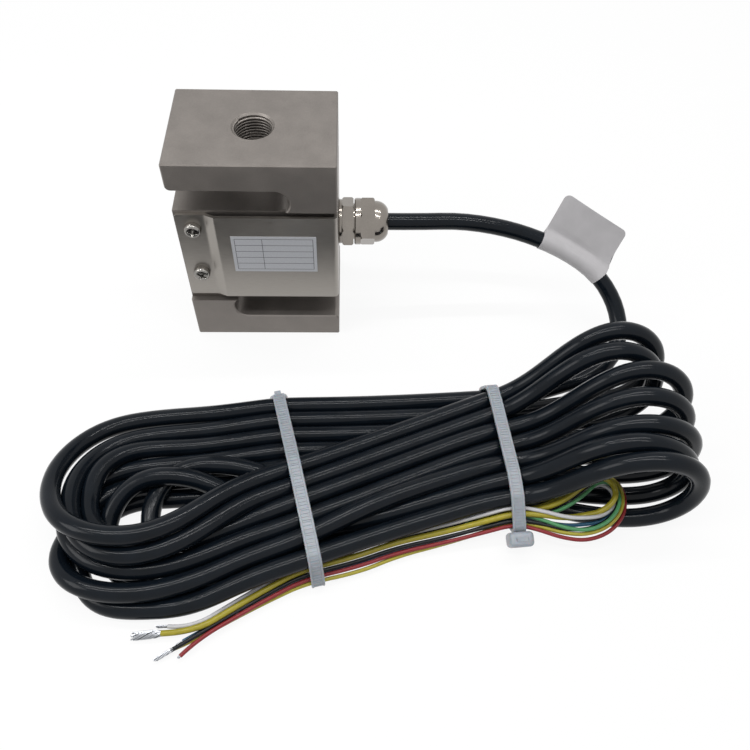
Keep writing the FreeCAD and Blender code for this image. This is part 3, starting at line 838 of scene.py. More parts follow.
class Core(Enum):
    """The conductors."""

    RED = Wire("red", Lane((1.3, -.65), (1.9, -.4), (1.7, -.6), (1.7, -1.0), (2.2, .5), (1.7, .5), (1.3, .3)),
               (-17.6, -133.8, 1.6), CORE_RADIUS, 1.5, 0.40)
    YELLOW = Wire("yellow", Lane((1.3, .65), (1.3, .9), (.6, .8), (.2, .0), (.9, -.7), (3.0, -.6),
                                 (.6, -1.0)),
                  (-19.5, -131.5, 0.9), CORE_RADIUS, 4.0, 0.42)
    BLUE = Wire("blue", Lane((0, -.85), (-.2, -1.3), (-.6, -.9), (-3.4, -.9), (-.5, -1.0), (.8, -.8),
                             (-.8, -1.1)),
                (-17.5, -129.6, 0.8), CORE_RADIUS, 3.0, 0.42)
    BLACK = Wire("black", Lane((0, .4), (-.9, .0), (-.7, .55), (-1.6, -.6), (.8, .8), (.2, .6), (.1, .3)),
                 (-20.3, -132.2, 1.5), CORE_RADIUS, 5.8, 0.62)
    WHITE = Wire("white", Lane((-1.3, -.65), (-2.0, -1.0), (-1.8, .4), (-3.6, 3.4), (-2.5, 2.9), (-3.0, 1.0),
                               (-2.3, .7)),
                 (-22.0, -125.6, 1.7), CORE_RADIUS, 4.0, 0.45)
    GREEN = Wire("green", Lane((-1.3, .65), (-3.0, 1.6), (-.6, 2.2), (-.4, 1.4), (-1.7, .2), (-2.0, -.7),
                               (-1.6, -1.0)),
                 (-18.0, -126.4, 0.8), CORE_RADIUS, 3.0, 0.42)
    SHIELD = Wire("shield", Lane((0, 1.95), (-1.0, 3.4), (-2.4, 3.4), (-5.4, 1.2), (-.6, 2.0), (-1.3, 1.1),
                                 (-.8, 1.2)),
                  (-23.6, -127.6, 1.9), SHIELD_RADIUS, 9.0, 1.25)


@dataclass
class Conductors:
    """Seven insulated conductors: out of the jacket, round a loop and back under both ties."""

    route: tuple[Point, ...] = (
        (64.0, -94.4, 3.1), (70.5, -94.0, 3.1), (80.0, -92.3, 3.1), (87.0, -92.8, 5.2), (93.5, -91.2, 8.2),
        (99.5, -86.8, 9.4), (105.8, -82.4, 9.4), (111.8, -85.6, 9.4), (112.0, -92.8, 9.2), (107.4, -98.6, 8.4),
        (100.4, -101.0, 7.4), (93.4, -99.8, 6.8), (86.4, -97.0, 6.6), (79.0, -95.2, 6.4), (69.5, -97.2, 4.6),
        (57.0, -99.8, 2.8), (43.0, -102.8, 2.4), (31.0, -107.4, 2.6), (15.5, -111.4, 3.0), (6.0, -116.4, 2.4),
        (-3.0, -121.6, 2.0), (-14.0, -128.4, 1.8),
    )
    fine: tuple[int, float] = (7, 0.33)
    braid: tuple[int, float] = (19, 0.2)
    twist: float = 3.6
    sections: int = 12
    rooted: float = 0.6

    def points(self, wire: Wire) -> list[Point]:
        """Control points of one conductor.

        Args:
            wire: Which conductor.

        Returns:
            The bundle's route moved by the conductor's place in it, and its loose end.
        """
        base = [Vector(p) for p in self.route]
        runs = [Vector((b.x - a.x, b.y - a.y, 0)).normalized() for a, b in zip(base, base[1:])]
        runs[0] = Vector((1, 0, 0))
        made = []
        for k, point in enumerate(base):
            before, after = runs[max(k - 1, 0)], runs[min(k, len(runs) - 1)]
            run = (before + after).normalized()
            across, up = wire.lane.at(k)
            side = Vector((-run.y, run.x, 0)) * (across / run.dot(before))
            made.append(tuple(point + side + Vector((0, 0, up))))
        made.append(wire.end)
        return made

    def build(self, finishes: Finishes) -> list[tuple[np.ndarray, float]]:
        """Makes the conductors with their bared, tinned ends.

        Args:
            finishes: The part's finishes.

        Returns:
            Each conductor's centre line and radius.
        """
        made = []
        for core in Core:
            wire = core.value
            obj = cord_curve(f"conductor_{wire.colour}", self.points(wire), 8)
            line = centre_line(obj)
            thicken(obj, wire.radius, 3)
            give(obj, finishes[f"core_{wire.colour}"])
            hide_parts(f"core_{wire.colour}")
            settle(obj)
            tip = self.tip(wire, line, finishes["tin"])
            made.append((line, wire.radius))
        return made

    @staticmethod
    def flare(t: float) -> float:
        """How far a braid has opened, as a share of its radius, at a share of its length."""
        return min(0.55 + 1.6 * t - 0.9 * t * t, 1.0)

    def tip(self, wire: Wire, line: np.ndarray, tin: bpy.types.Material) -> bpy.types.Object:
        """Bared strands that twist out of a conductor's end.

        Args:
            wire: The conductor.
            line: Its centre line.
            tin: The strands' material.

        Returns:
            The strands as one piece.
        """
        ahead = Vector(line[-1] - line[-4]).normalized()
        side = ahead.cross(Vector((0, 0, 1))).normalized()
        up = side.cross(ahead)
        braided = wire.bundle > 1
        count, share = self.braid if braided else self.fine
        strand = wire.bundle * share
        points, faces = [], []
        for k in range(count):
            reach = 0 if k == 0 else (wire.bundle - strand) * (0.5 if braided and k % 3 == 0 else 1)
            length = wire.bared * (1 - 0.06 * (k % 4))
            rings = []
            for section in range(self.sections + 1):
                t = section / self.sections
                out = reach * self.flare(t) if braided else reach
                turn = k * 2 * math.pi / (count - 1) + t * self.twist
                centre = (Vector(line[-1]) + ahead * (length * t - self.rooted)
                          + side * out * math.cos(turn) + up * out * math.sin(turn))
                centre.z = max(centre.z, strand * 1.1)
                rings.append([tuple(centre + side * strand * math.cos(a) + up * strand * math.sin(a))
                              for a in (j * math.pi / 3 for j in range(6))])
            tube, skin = swept(rings, False)
            faces += [tuple(i + len(points) for i in f) for f in skin]
            points += tube
        obj = mesh_object(f"strands_{wire.colour}", points, faces)
        give(obj, tin)
        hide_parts("tinned_ends")
        settle(obj)
        return obj


# ---------------------------------------------------------------- cable
@dataclass
class Relaxation:
    """Lets laid turns find room, as a rope's would: off each other, the wires, the straps and the floor.

    Lengths are in mm. The others are shares of a lack, or of a difference, that one step makes good.
    """

    spacing: float
    least_bend: float
    steps: int = 320
    smoothings: int = 3
    looseness: float = 1.02
    neighbours: int = 5
    shove: float = 0.25
    gain: float = 1.6
    clearing: float = 0.5
    clearing_every: int = 3
    held_start: int = 9
    held_end: int = 6
    shape: float = 0.15
    pull: float = 0.02
    spans: tuple[int, ...] = (1, 2, 4)
    opening: float = 0.5
    sink: float = 0.006
    band: float = 4.0

    def even(self, laid: np.ndarray) -> np.ndarray:
        """Spaces points evenly on the laid line and rounds it a little.

        Args:
            laid: The line as it was laid.

        Returns:
            The points.
        """
        along = distances(laid)
        turn = points_at(laid, np.linspace(0, along[-1], int(round(along[-1] / self.spacing)) + 1))
        for _ in range(self.smoothings):
            turn[1:-1] = 0.25 * turn[:-2] + 0.5 * turn[1:-1] + 0.25 * turn[2:]
        return turn

    def push_apart(self, turn: np.ndarray, first: np.ndarray, second: np.ndarray) -> None:
        """Moves strands that cut into each other apart.

        Args:
            turn: The turns' points, moved in place.
            first: The number of one point of each pair.
            second: The number of the other.
        """
        gap = 2 * CABLE_RADIUS * self.looseness
        apart = turn[first] - turn[second]
        far = np.linalg.norm(apart, axis=1)
        near = far < gap
        push, hits = np.zeros_like(turn), np.zeros(len(turn))
        a, b = first[near], second[near]
        shove = apart[near] / np.maximum(far[near], 1e-6)[:, None] * (gap - far[near])[:, None] * self.shove
        np.add.at(push, a, shove)
        np.add.at(push, b, -shove)
        np.add.at(hits, a, 1)
        np.add.at(hits, b, 1)
        turn += push / np.maximum(hits, 1)[:, None] * self.gain

    def keep_off(self, turn: np.ndarray, wires: np.ndarray, room: np.ndarray) -> None:
        """Moves strands off the obstacle that each is deepest in.

        Args:
            turn: The turns' points, moved in place.
            wires: Points on the obstacles' centre lines.
            room: The distance to keep from each of those points.
        """
        free = slice(self.held_start, -self.held_end)
        off = turn[free, None, :] - wires[None, :, :]
        dist = np.linalg.norm(off, axis=2)
        worst = np.argmin(dist - room[None, :], axis=1)
        rows = np.arange(len(off))
        lack = np.maximum(room[worst] - dist[rows, worst], 0)
        turn[free] += (off[rows, worst] / np.maximum(dist[rows, worst], 1e-6)[:, None]
                       * lack[:, None] * self.clearing)

    def keep_shape(self, turn: np.ndarray, aim: np.ndarray, done: float) -> None:
        """Draws the turns back to the bends that they were laid with and, ever more weakly, to their places.

        Args:
            turn: The turns' points, moved in place.
            aim: The points as they were laid.
            done: The share of the steps that is over.
        """
        turn[1:-1] += self.shape * (0.5 * (turn[:-2] + turn[2:]) - turn[1:-1]) \
            - self.shape * (0.5 * (aim[:-2] + aim[2:]) - aim[1:-1])
        turn += (aim - turn) * self.pull * (1 - done)

    def open_bends(self, turn: np.ndarray) -> None:
        """Opens what bends more tightly than least_bend, over short, middling and long spans.

        Args:
            turn: The turns' points, moved in place.
        """
        for k in self.spans:
            sag = 0.5 * (turn[:-2 * k] + turn[2 * k:]) - turn[k:-k]
            deep = np.linalg.norm(sag, axis=1)
            over = np.maximum(deep - (k * self.spacing) ** 2 / (2 * self.least_bend), 0)
            shift = sag * (over / np.maximum(deep, 1e-6) * 0.5)[:, None]
            turn[k:-k] += shift * self.opening
            turn[:-2 * k] -= shift * self.opening / 2
            turn[2 * k:] -= shift * self.opening / 2

    def rest(self, turn: np.ndarray) -> None:
        """Lets the turns sink onto the floor and onto the straps of the ties.

        Args:
            turn: The turns' points, moved in place.
        """
        turn[:, 2] = np.maximum(turn[:, 2] - self.sink, CABLE_RADIUS)
        for place in TiePlace:
            x, lean = place.value
            slant = math.tan(math.radians(lean)) * (turn[:, 1] - TIE_MIDDLE)
            band = np.abs(turn[:, 0] - x + slant) < self.band
            turn[band, 2] = np.maximum(turn[band, 2], CABLE_RADIUS + TIE_STRAP)

    def run(self, laid: np.ndarray, wires: np.ndarray, room: np.ndarray) -> np.ndarray:
        """Runs all the steps.

        Args:
            laid: The turns as they were laid.
            wires: Points on the obstacles' centre lines.
            room: The distance to keep from each of those points.

        Returns:
            The turns' points at an even spacing.
        """
        turn = self.even(laid)
        aim = turn.copy()
        first, second = np.triu_indices(len(turn), k=self.neighbours)
        for step in range(self.steps):
            self.push_apart(turn, first, second)
            if step % self.clearing_every == 0:
                self.keep_off(turn, wires, room)
            self.keep_shape(turn, aim, step / self.steps)
            self.open_bends(turn)
            self.rest(turn)
            turn[:2], turn[-1] = aim[:2], aim[-1]
        return turn


@dataclass(frozen=True)
class Row:
    """Strands side by side: where the first one lies and the step to the next, along y."""

    first: float
    step: float

    def at(self, i: int) -> float:
        """Where strand i lies."""
        return self.first + self.step * i


@dataclass
class CableRun:
    """The whole cable on one spline: the free lead, then the turns of the tied hank.

    The turns go left in a lower layer, fold round, and come back right over it. A tuple with a value for each
    turn starts with the turn nearest the block.
    """

    turns: int = 7
    ring: float = 17.3
    sweep: float = 20.0
    climb: float = 53.0
    spacing: float = 5.0
    least_bend: float = 17.8
    lead: tuple[Point, ...] = (
        (39.0, 0.0, 38.1), (53.0, 0.0, 38.1), (67.0, 1.2, 37.6), (81.0, 1.0, 35.2), (93.5, 0.2, 31.4),
        (105.5, -3.4, 27.8), (116.0, -9.2, 23.4), (122.5, -16.2, 17.0), (124.6, -23.6, 12.0),
        (123.4, -30.8, 8.4), (118.4, -37.2, 5.4),
    )
    landed: int = 6
    joint: tuple[Point, ...] = ((110.8, -41.2, 3.6), (102.0, -43.4, 2.9))
    reach_right: tuple[float, ...] = (130.5, 128.5, 136, 134, 133, 129, 133)
    top_right: tuple[float, ...] = (-44.2, -52.2, -59.6, -69.6, -79.6, -86.2, -91.2)
    foot_right: tuple[float, ...] = (-50.2, -57.6, -64.6, -71.4, -78.8, -86.6, -94.4)
    foot_out: tuple[float, ...] = (0, 0, 0, 1, 3, 6, 0)
    far_left: tuple[float, ...] = (-56.5, -63.5, -69.3, -75.0, -80.4, -76.0, -86.0, -81.5)
    near_left: tuple[float, ...] = (-107.5, -111.0, -107.0, -113.0, -118.3, -111.0, -122.4, -116.8)
    reach_left: tuple[float, ...] = (-61.0, -53.5, -51.0, -55.0, -57.5, -32.0, -52.5, -45.0)
    far_lift: tuple[float, ...] = (3, 3, 3, 3, 3, 8.7, 3, 8.7)
    near_lift: tuple[float, ...] = (20, 15, 10, 9, 8.7, 2.9, 2.9, 2.9)
    fold_start: float = -36.0
    fold_room: float = 17.6
    lower_right: Row = Row(-50.5, -5.7)
    lower_left: Row = Row(-53.0, -5.8)
    upper_right: Row = Row(-55.0, -5.6)
    upper_left: Row = Row(-80.0, -5.8)
    last_left: tuple[float, float] = (-99.3, -109.0)
    going: tuple[float, ...] = (104, 92, 80, 66, 52, 38, 25, 12, -2, -16, -30)
    coming: tuple[float, ...] = (-30, -16, -2, 12, 25, 38, 52, 64)

    @staticmethod
    def ease(t: float) -> float:
        """Slow at both ends, from 0 to 1."""
        t = min(max(t, 0.0), 1.0)
        return t * t * (3 - 2 * t)

    def loop(self, i: int) -> list[Point]:
        """One right-hand loop: up out of the tie, over and down to the floor again.

        Args:
            i: The turn's number.

        Returns:
            Its points from where it starts to climb to its foot.
        """
        base, middle = CABLE_RADIUS + TIE_STRAP + self.spacing, self.reach_right[i] - self.ring
        rise = CABLE_RADIUS + 2 * self.ring - base
        lean = math.radians(self.climb)
        straight = (rise - (self.sweep + self.ring) * (1 - math.cos(lean))) / math.sin(lean)
        start = middle - (self.sweep + self.ring) * math.sin(lean) - straight * math.cos(lean)
        side = [(start + self.sweep * math.sin(lean * k / 4),
                 base + self.sweep * (1 - math.cos(lean * k / 4))) for k in range(5)]
        side.append((side[-1][0] + straight * math.cos(lean) / 2,
                     side[-1][1] + straight * math.sin(lean) / 2))
        held = self.upper_right.at(i)
        points = [(x, held + (self.top_right[i] - held) * (x - start) / (middle - start), z) for x, z in side]
        for k in range(-2, 8):
            a = k * math.pi / 7 if k > 0 else lean * k / 2
            down = max(0.0, (1 - math.cos(a)) / 2) if a > 0 else 0.0
            x = middle + self.ring * math.sin(a)
            y = self.top_right[i] + (self.foot_right[i] - self.top_right[i]) * down
            if a < 0:
                y = held + (self.top_right[i] - held) * (x - start) / (middle - start)
            points.append((x + self.foot_out[i] * down, y, CABLE_RADIUS + self.ring * (1 + math.cos(a))))
        return points

    def fold_base(self, i: int) -> float:
        """Where a left-hand fold begins, so that it has room to go round."""
        return max(self.fold_start, self.reach_left[i] + self.fold_room)

    def fold(self, i: int) -> list[Point]:
        """One left-hand fold.

        Args:
            i: The turn's number.

        Returns:
            Its points from its far side round to its near side.
        """
        far, near, low, high = self.far_left[i], self.near_left[i], self.far_lift[i], self.near_lift[i]
        base = self.fold_base(i)
        deep = base - self.reach_left[i]
        return [(base - deep * math.sin(a), (far + near) / 2 + (far - near) / 2 * math.cos(a),
                 low + (high - low) * (1 - math.cos(a)) / 2) for a in (k * math.pi / 8 for k in range(1, 8))]

    def leftward(self, i: int, edge: float, start: float) -> list[Point]:
        """One strand of the lower layer.

        Args:
            i: The turn's number.
            edge: Where its first point may be, along x.
            start: Where it comes from, along y.

        Returns:
            Its points from the right to where its fold begins.
        """
        low, floor = CABLE_RADIUS, CABLE_RADIUS + TIE_STRAP
        right, left, end = self.lower_right.at(i), self.lower_left.at(i), self.fold_base(i)
        points = []
        for x in (x for x in self.going if end + 5 < x <= edge):
            if x > 80:
                t = self.ease((x - 80) / 30)
                points.append((x, right + (start - right) * t, floor + (low - floor) * t))
            elif x >= 12:
                points.append((x, right + (left - right) * (80 - x) / 68, floor))
            else:
                t = self.ease((12 - x) / (6 - end))
                points.append((x, left + (self.far_left[i] - left) * t,
                               floor + (self.far_lift[i] - floor) * t))
        return points

    def rightward(self, i: int) -> list[Point]:
        """One strand that comes back over the lower layer, with the loop that it ends in.

        Args:
            i: The turn's number.

        Returns:
            Its points from the end of its fold to the foot of its loop.
        """
        upper = self.turns - len(self.last_left)
        left = self.upper_left.at(i) if i < upper else self.last_left[i - upper]
        base = CABLE_RADIUS + TIE_STRAP + (self.spacing if i != upper else 0)
        near, high, end, climbing = self.near_left[i], self.near_lift[i], self.fold_base(i), self.loop(i)
        points = []
        for x in (x for x in self.coming if end + 5 < x < climbing[0][0] - 4):
            if x <= 12:
                t = self.ease((12 - x) / (6 - end))
                points.append((x, left + (near - left) * t, base + (high - base) * t))
            else:
                t = (x - 12) / (climbing[0][0] - 12)
                points.append((x, left + (climbing[0][1] - left) * t,
                               base + (climbing[0][2] - base) * min(1, 2 * t)))
        return points + climbing

    def tail(self) -> list[Point]:
        """The last strand, from the last fold to the end of the jacket beside the right tie.

        Returns:
            Its points.
        """
        low, floor, near = CABLE_RADIUS, CABLE_RADIUS + TIE_STRAP, self.near_left[-1]
        return [(-20, near, low), (-8, -113.4, low), (3, -109.4, 3.2), (14, -104.8, floor),
                (26, -101, floor), (38, -98, 3.6), (52, -95.4, 3.1), (64, -94.4, 3.1)]

    def stations(self) -> list[Point]:
        """Lays the turns one after another, each by its own reach and spread.

        Returns:
            The hank's points, from the lead's joint to the end of the jacket.
        """
        points, edge, start = list(self.joint), 93.0, -43.4
        for i in range(self.turns):
            points += self.leftward(i, edge, start) + self.fold(i) + self.rightward(i)
            edge, start = points[-1][0] - 8, self.foot_right[i]
        return points + self.leftward(self.turns, edge, start) + self.fold(self.turns) + self.tail()

    def build(self, wires: Sequence[tuple[np.ndarray, float]], finishes: Finishes
              ) -> tuple[bpy.types.Object, np.ndarray]:
        """Makes the cable.

        Args:
            wires: Centre line and radius of each conductor.
            finishes: The part's finishes.

        Returns:
            The cable's curve and its centre line.
        """
        kept = [(line[8::3], radius) for line, radius in wires]
        kept.append((np.array(self.lead[self.landed:]), CABLE_RADIUS))
        cloud = np.concatenate([line for line, _ in kept])
        room = np.concatenate([np.full(len(line), CABLE_RADIUS + radius + 0.1) for line, radius in kept])
        turns = Relaxation(self.spacing, self.least_bend).run(np.array(self.stations(), float), cloud, room)
        obj = cord_curve("signal_cable", [*self.lead, *map(tuple, turns)], 3)
        line = centre_line(obj)
        thicken(obj, CABLE_RADIUS, 6)
        give(obj, finishes["cable_jacket"])
        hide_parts("cable_lead", "cable_hank")
        settle(obj)
        LOG.info("cable: %.0f mm on %d turns", line_length(line), self.turns)
        return obj, line


# ---------------------------------------------------------------- ties
class HeadSide(Enum):
    """Which side of the hank a tie's head is on: the far one or the near one."""

    FAR = 1
    NEAR = -1


@dataclass(frozen=True)
class StrapLine:
    """The closed line that a strap follows, as (far, up) pairs in the tie's own plane, and that plane."""

    ring: np.ndarray
    out: np.ndarray
    run: np.ndarray
    origin: np.ndarray
    across: np.ndarray
    far: np.ndarray

    def direction(self, pair: np.ndarray) -> np.ndarray:
        """A (far, up) pair as a direction in space."""
        return self.far * pair[0] + np.array((0, 0, pair[1]))

    def point(self, station: int, over: float, wide: float) -> np.ndarray:
        """The point at a station, moved away from the hank and across the strap."""
        pair = self.ring[station] + self.out[station] * over
        return self.origin + self.direction(pair) + self.across * wide


def hull(rim: list[tuple[float, float]]) -> np.ndarray:
    """Finds the shortest closed line round points.

    Args:
        rim: The points, as pairs.

    Returns:
        The corners in order, the first one repeated at the end.
    """
    corners: list[tuple[float, float]] = []
    rim = sorted(rim)
    for order in (rim, rim[::-1]):
        part: list[tuple[float, float]] = []
        for p in order:
            while len(part) > 1 and ((part[-1][0] - part[-2][0]) * (p[1] - part[-2][1])
                                     - (part[-1][1] - part[-2][1]) * (p[0] - part[-2][0])) <= 1e-9:
                part.pop()
            part.append(p)
        corners += part[:-1]
    return np.array(corners + corners[:1])


@dataclass
class CableTie:
    """A nylon strap drawn tight round whatever crosses its plane, with its ribs and its head."""

    name: str
    place: TiePlace
    side: HeadSide
    width: float = 4.0
    thick: float = TIE_STRAP
    reach: float = 42.0
    slack: float = 0.05
    stations: int = 260
    roundings: int = 4
    rib_pitch: float = 0.95
    head: Point = (7.4, 4.6, 7.0)
    head_corner: float = 1.35
    seat: float = 6.4

    def line(self, lines: Sequence[tuple[np.ndarray, float]]) -> StrapLine:
        """Draws the strap's line tight round all that crosses its plane.

        Args:
            lines: Centre line and radius of all that the tie may hold.

        Returns:
            The strap's line.
        """
        x, turn = self.place.value
        angle = math.radians(turn)
        across = np.array((math.cos(angle), math.sin(angle), 0.0))
        far = np.array((-math.sin(angle), math.cos(angle), 0.0))
        origin = np.array((x, TIE_MIDDLE, 0.0))
        rim, spots = [], []
        for line, radius in lines:
            side = (line - origin) @ across
            for edge in (-self.width / 2, 0.0, self.width / 2):
                over = side - edge
                cuts = np.nonzero(over[:-1] * over[1:] <= 0)[0]
                spots += [(line[k] + (line[k + 1] - line[k]) * over[k] / (over[k] - over[k + 1] + 1e-12),
                           radius) for k in cuts]
        for point, radius in spots:
            spot = point - origin
            if abs(spot @ far) < self.reach:
                for a in np.linspace(0, 2 * math.pi, 36, endpoint=False):
                    rim.append((spot @ far + (radius + self.slack) * math.cos(a),
                                max(spot[2] + (radius + self.slack) * math.sin(a), self.thick)))
        corners = hull(rim)
        ring = points_at(corners, np.linspace(0, distances(corners)[-1], self.stations, endpoint=False))
        for _ in range(self.roundings):
            ring = 0.25 * np.roll(ring, 1, 0) + 0.5 * ring + 0.25 * np.roll(ring, -1, 0)
        run = np.roll(ring, -1, 0) - np.roll(ring, 1, 0)
        run /= np.linalg.norm(run, axis=1)[:, None]
        return StrapLine(ring, np.stack((run[:, 1], -run[:, 0]), 1), run, origin, across, far)

    def section(self) -> list[tuple[float, float]]:
        """Draws the strap's section: a flat band with a shallow channel between two rims.

        Returns:
            Its (across, away) pairs.
        """
        half, t = self.width / 2, self.thick
        left = [(-half + .25, 0), (-half, .25), (-half, t - .25), (-half + .2, t), (-half + .6, t),
                (-half + .72, t - .16)]
        return left + [(-wide, over) for wide, over in reversed(left)]

    def build(self, lines: Sequence[tuple[np.ndarray, float]], finishes: Finishes) -> list[bpy.types.Object]:
        """Makes the strap, its ribs and its head.

        Args:
            lines: Centre line and radius of all that the tie may hold.
            finishes: The part's finishes.

        Returns:
            The tie's pieces.
        """
        path = self.line(lines)
        rings = [[path.point(k, over, wide) for wide, over in self.section()] for k in range(self.stations)]
        strap = mesh_object(f"tie_{self.name}_strap", *swept(rings, True))
        give(strap, finishes["tie_nylon"])
        ribs = self.ribs(path, finishes)
        head = self.build_head(path, finishes)
        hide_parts(f"cable_tie_{self.name}")
        for obj in (strap, ribs, head):
            settle(obj)
        return [strap, ribs, head]

    def ribs(self, path: StrapLine, finishes: Finishes) -> bpy.types.Object:
        """Fine cross ribs in the strap's channel, as instances on points along it.

        Args:
            path: The strap's line.
            finishes: The part's finishes.

        Returns:
            The ribs as one piece.
        """
        along = distances(path.ring)
        picks = [int(np.searchsorted(along, s)) for s in np.arange(0.5, along[-1], self.rib_pitch)]
        spots = [path.point(k, self.thick - 0.14, 0.0) for k in picks]
        seeds = seed_mesh(f"tie_{self.name}_rib_places", spots,
                          {"outward": [path.direction(path.out[k]) for k in picks],
                           "along": [path.direction(path.run[k]) for k in picks]})
        tree = GeometryTree(f"tie_{self.name}_ribs", (("Rib Width", "NodeSocketFloat", 0.0026),
                                                      ("Rib Length", "NodeSocketFloat", 0.00042),
                                                      ("Rib Height", "NodeSocketFloat", 0.00026)))
        size = tree.node("ShaderNodeCombineXYZ")
        for axis, label in (("X", "Rib Length"), ("Y", "Rib Width"), ("Z", "Rib Height")):
            tree.link(tree.start.outputs[label], size.inputs[axis])
        cube = tree.node("GeometryNodeMeshCube")
        tree.link(size.outputs[0], cube.inputs["Size"])
        turn = None
        for label, axis in (("outward", "Z"), ("along", "X")):
            read = tree.node("GeometryNodeInputNamedAttribute", data_type="FLOAT_VECTOR")
            read.inputs["Name"].default_value = label
            align = tree.node("FunctionNodeAlignRotationToVector", axis=axis)
            if turn is not None:
                align.pivot_axis = "Z"
                tree.link(turn, align.inputs["Rotation"])
            tree.link(read.outputs["Attribute"], align.inputs["Vector"])
            turn = align.outputs["Rotation"]
        place = tree.node("GeometryNodeInstanceOnPoints")
        tree.link(tree.start.outputs["Geometry"], place.inputs["Points"])
        tree.link(cube.outputs["Mesh"], place.inputs["Instance"])
        tree.link(turn, place.inputs["Rotation"])
        tree.close(place.outputs["Instances"])
        obj = tree.run(f"tie_{self.name}_ribs", seeds, {"Material": finishes["tie_nylon"]})
        return obj

    def build_head(self, path: StrapLine, finishes: Finishes) -> bpy.types.Object:
        """The square head with its sunk mouth and the strap's cut end in it.

        Args:
            path: The strap's line.
            finishes: The part's finishes.

        Returns:
            The head.
        """
        wide, deep, high = self.head
        sides = [k for k in range(self.stations) if path.out[k][0] * self.side.value > 0.2]
        station = min(sides, key=lambda k: abs(path.ring[k][1] - self.seat))
        away = path.out[station]
        spot = path.ring[station] + away * (self.thick + deep / 2 - 0.3)
        lowest = spot[1] - abs(away[1]) * deep / 2 - abs(away[0]) * high / 2
        centre = path.origin + path.far * spot[0] + np.array((0, 0, spot[1] + max(0.3 - lowest, 0)))
        work = bmesh.new()
        bmesh.ops.create_cube(work, size=1.0)
        bmesh.ops.scale(work, vec=(wide, deep, high), verts=work.verts)
        bmesh.ops.bevel(work, geom=work.edges[:], offset=self.head_corner, segments=5, profile=0.5,
                        affect="EDGES")
        top = max(work.faces, key=lambda f: f.calc_center_median().z + f.calc_area() * 0.01)
        for thickness, depth in ((0.75, 0.0), (0.12, -0.35), (0.1, -0.9)):
            bmesh.ops.inset_region(work, faces=[top], thickness=thickness, depth=depth)
        end = bmesh.ops.create_cube(work, size=1.0)["verts"]
        bmesh.ops.scale(work, vec=(self.width - 0.6, self.thick, high - 0.4), verts=end)
        bmesh.ops.translate(work, vec=(0, 0, 0.35), verts=end)
        bmesh.ops.scale(work, vec=(MM, MM, MM), verts=work.verts)
        bmesh.ops.recalc_face_normals(work, faces=work.faces)
        mesh = bpy.data.meshes.new(f"tie_{self.name}_head")
        work.to_mesh(mesh)
        work.free()
        ahead = Vector(path.direction(away))
        rise = Vector((0, 0, 1)) - ahead * ahead.z
        rise.normalize()
        axes = Matrix((ahead.cross(rise), ahead, rise)).transposed().to_4x4()
        mesh.transform(Matrix.Translation(Vector(centre) * MM) @ axes)
        mesh.polygons.foreach_set("use_smooth", [True] * len(mesh.polygons))
        mesh.set_sharp_from_angle(angle=math.radians(40))
        obj = bpy.data.objects.new(f"tie_{self.name}_head", mesh)
        bpy.context.scene.collection.objects.link(obj)
        give(obj, finishes["tie_nylon"])
        return obj


# ---------------------------------------------------------------- marker flag
@dataclass
class MarkerFlag:
    """Bare paper label wrapped round the lead, its halves stuck together into a flag."""

    start: float = 58.0
    length: float = 25.0
    reach: float = 15.2
    skew: float = 1.8
    lean: float = 31.0
    corner: float = 2.0
    sheet: float = 0.16
    bow: float = 0.7
    stations: int = 48

    def outline(self, reach: float) -> list[tuple[float, float]]:
        """One side of the sheet, where it is cut across the cable.

        Args:
            reach: How far its free edge is from the cable's middle.

        Returns:
            Its (out, aside) pairs from the free edge to the cable's underside.
        """
        wrap = CABLE_RADIUS + 0.2
        flat = [(reach, 0.0)]
        flat += [(reach * k, self.sheet) for k in (1.0, 0.93, 0.85, 0.75, 0.65, 0.55, 0.45, 0.37)]
        neck = [(5.5, 0.19), (4.8, 0.32), (4.1, 0.66), (3.4, 1.16), (2.85, 1.56)]
        turned = [(wrap * math.cos(a), wrap * math.sin(a)) for a in np.radians(np.arange(36, 181, 9))]
        return flat + neck + turned

    def build(self, lead: np.ndarray, finishes: Finishes) -> bpy.types.Object:
        """Makes the flag.

        Args:
            lead: The cable's centre line from its gland.
            finishes: The part's finishes.

        Returns:
            The flag.
        """
        tilt = math.radians(self.lean)
        high = np.array((0, math.sin(tilt), math.cos(tilt)))
        first, last = points_at(lead, self.start), points_at(lead, self.start + self.length)
        run = (last - first) / np.linalg.norm(last - first)
        up = high - run * (high @ run)
        up /= np.linalg.norm(up)
        aside = np.cross(run, up)
        middle = (first + last) / 2
        rings = []
        for j in range(self.stations + 1):
            s = self.length * (1 - math.cos(math.pi * j / self.stations)) / 2
            spot = points_at(lead, self.start + s)
            ahead = points_at(lead, self.start + s + 0.5) - points_at(lead, self.start + s - 0.5)
            ahead /= np.linalg.norm(ahead)
            local_up = high - ahead * (high @ ahead)
            local_up /= np.linalg.norm(local_up)
            local_side = np.cross(ahead, local_up)
            base = middle + run * (s - self.length / 2)
            edge = min(s, self.length - s)
            short = self.corner - math.sqrt(max(self.corner ** 2 - max(self.corner - edge, 0) ** 2, 0))
            reach = self.reach + CABLE_RADIUS - short
            half = self.outline(reach)
            ring = []
            for sign, part in ((1, half), (-1, half[-2:0:-1])):
                for o, d in part:
                    phase = math.pi * (s / self.length - 0.4)
                    bend = self.bow * (max(o, 0) / self.reach) ** 2 * math.cos(phase)
                    t = min(max((o - 2.0) / 6.0, 0), 1)
                    t = t * t * (3 - 2 * t)
                    near = spot + local_up * o + local_side * (sign * d + bend)
                    flat = base + up * o - run * (self.skew * max(o, 0) / reach) + aside * (sign * d + bend)
                    ring.append(near * (1 - t) + flat * t)
            rings.append(ring)
        obj = mesh_object("paper_flag", *swept(rings, False))
        give(obj, finishes["flag_paper"])
        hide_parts("marker_flag")
        settle(obj)
        return obj


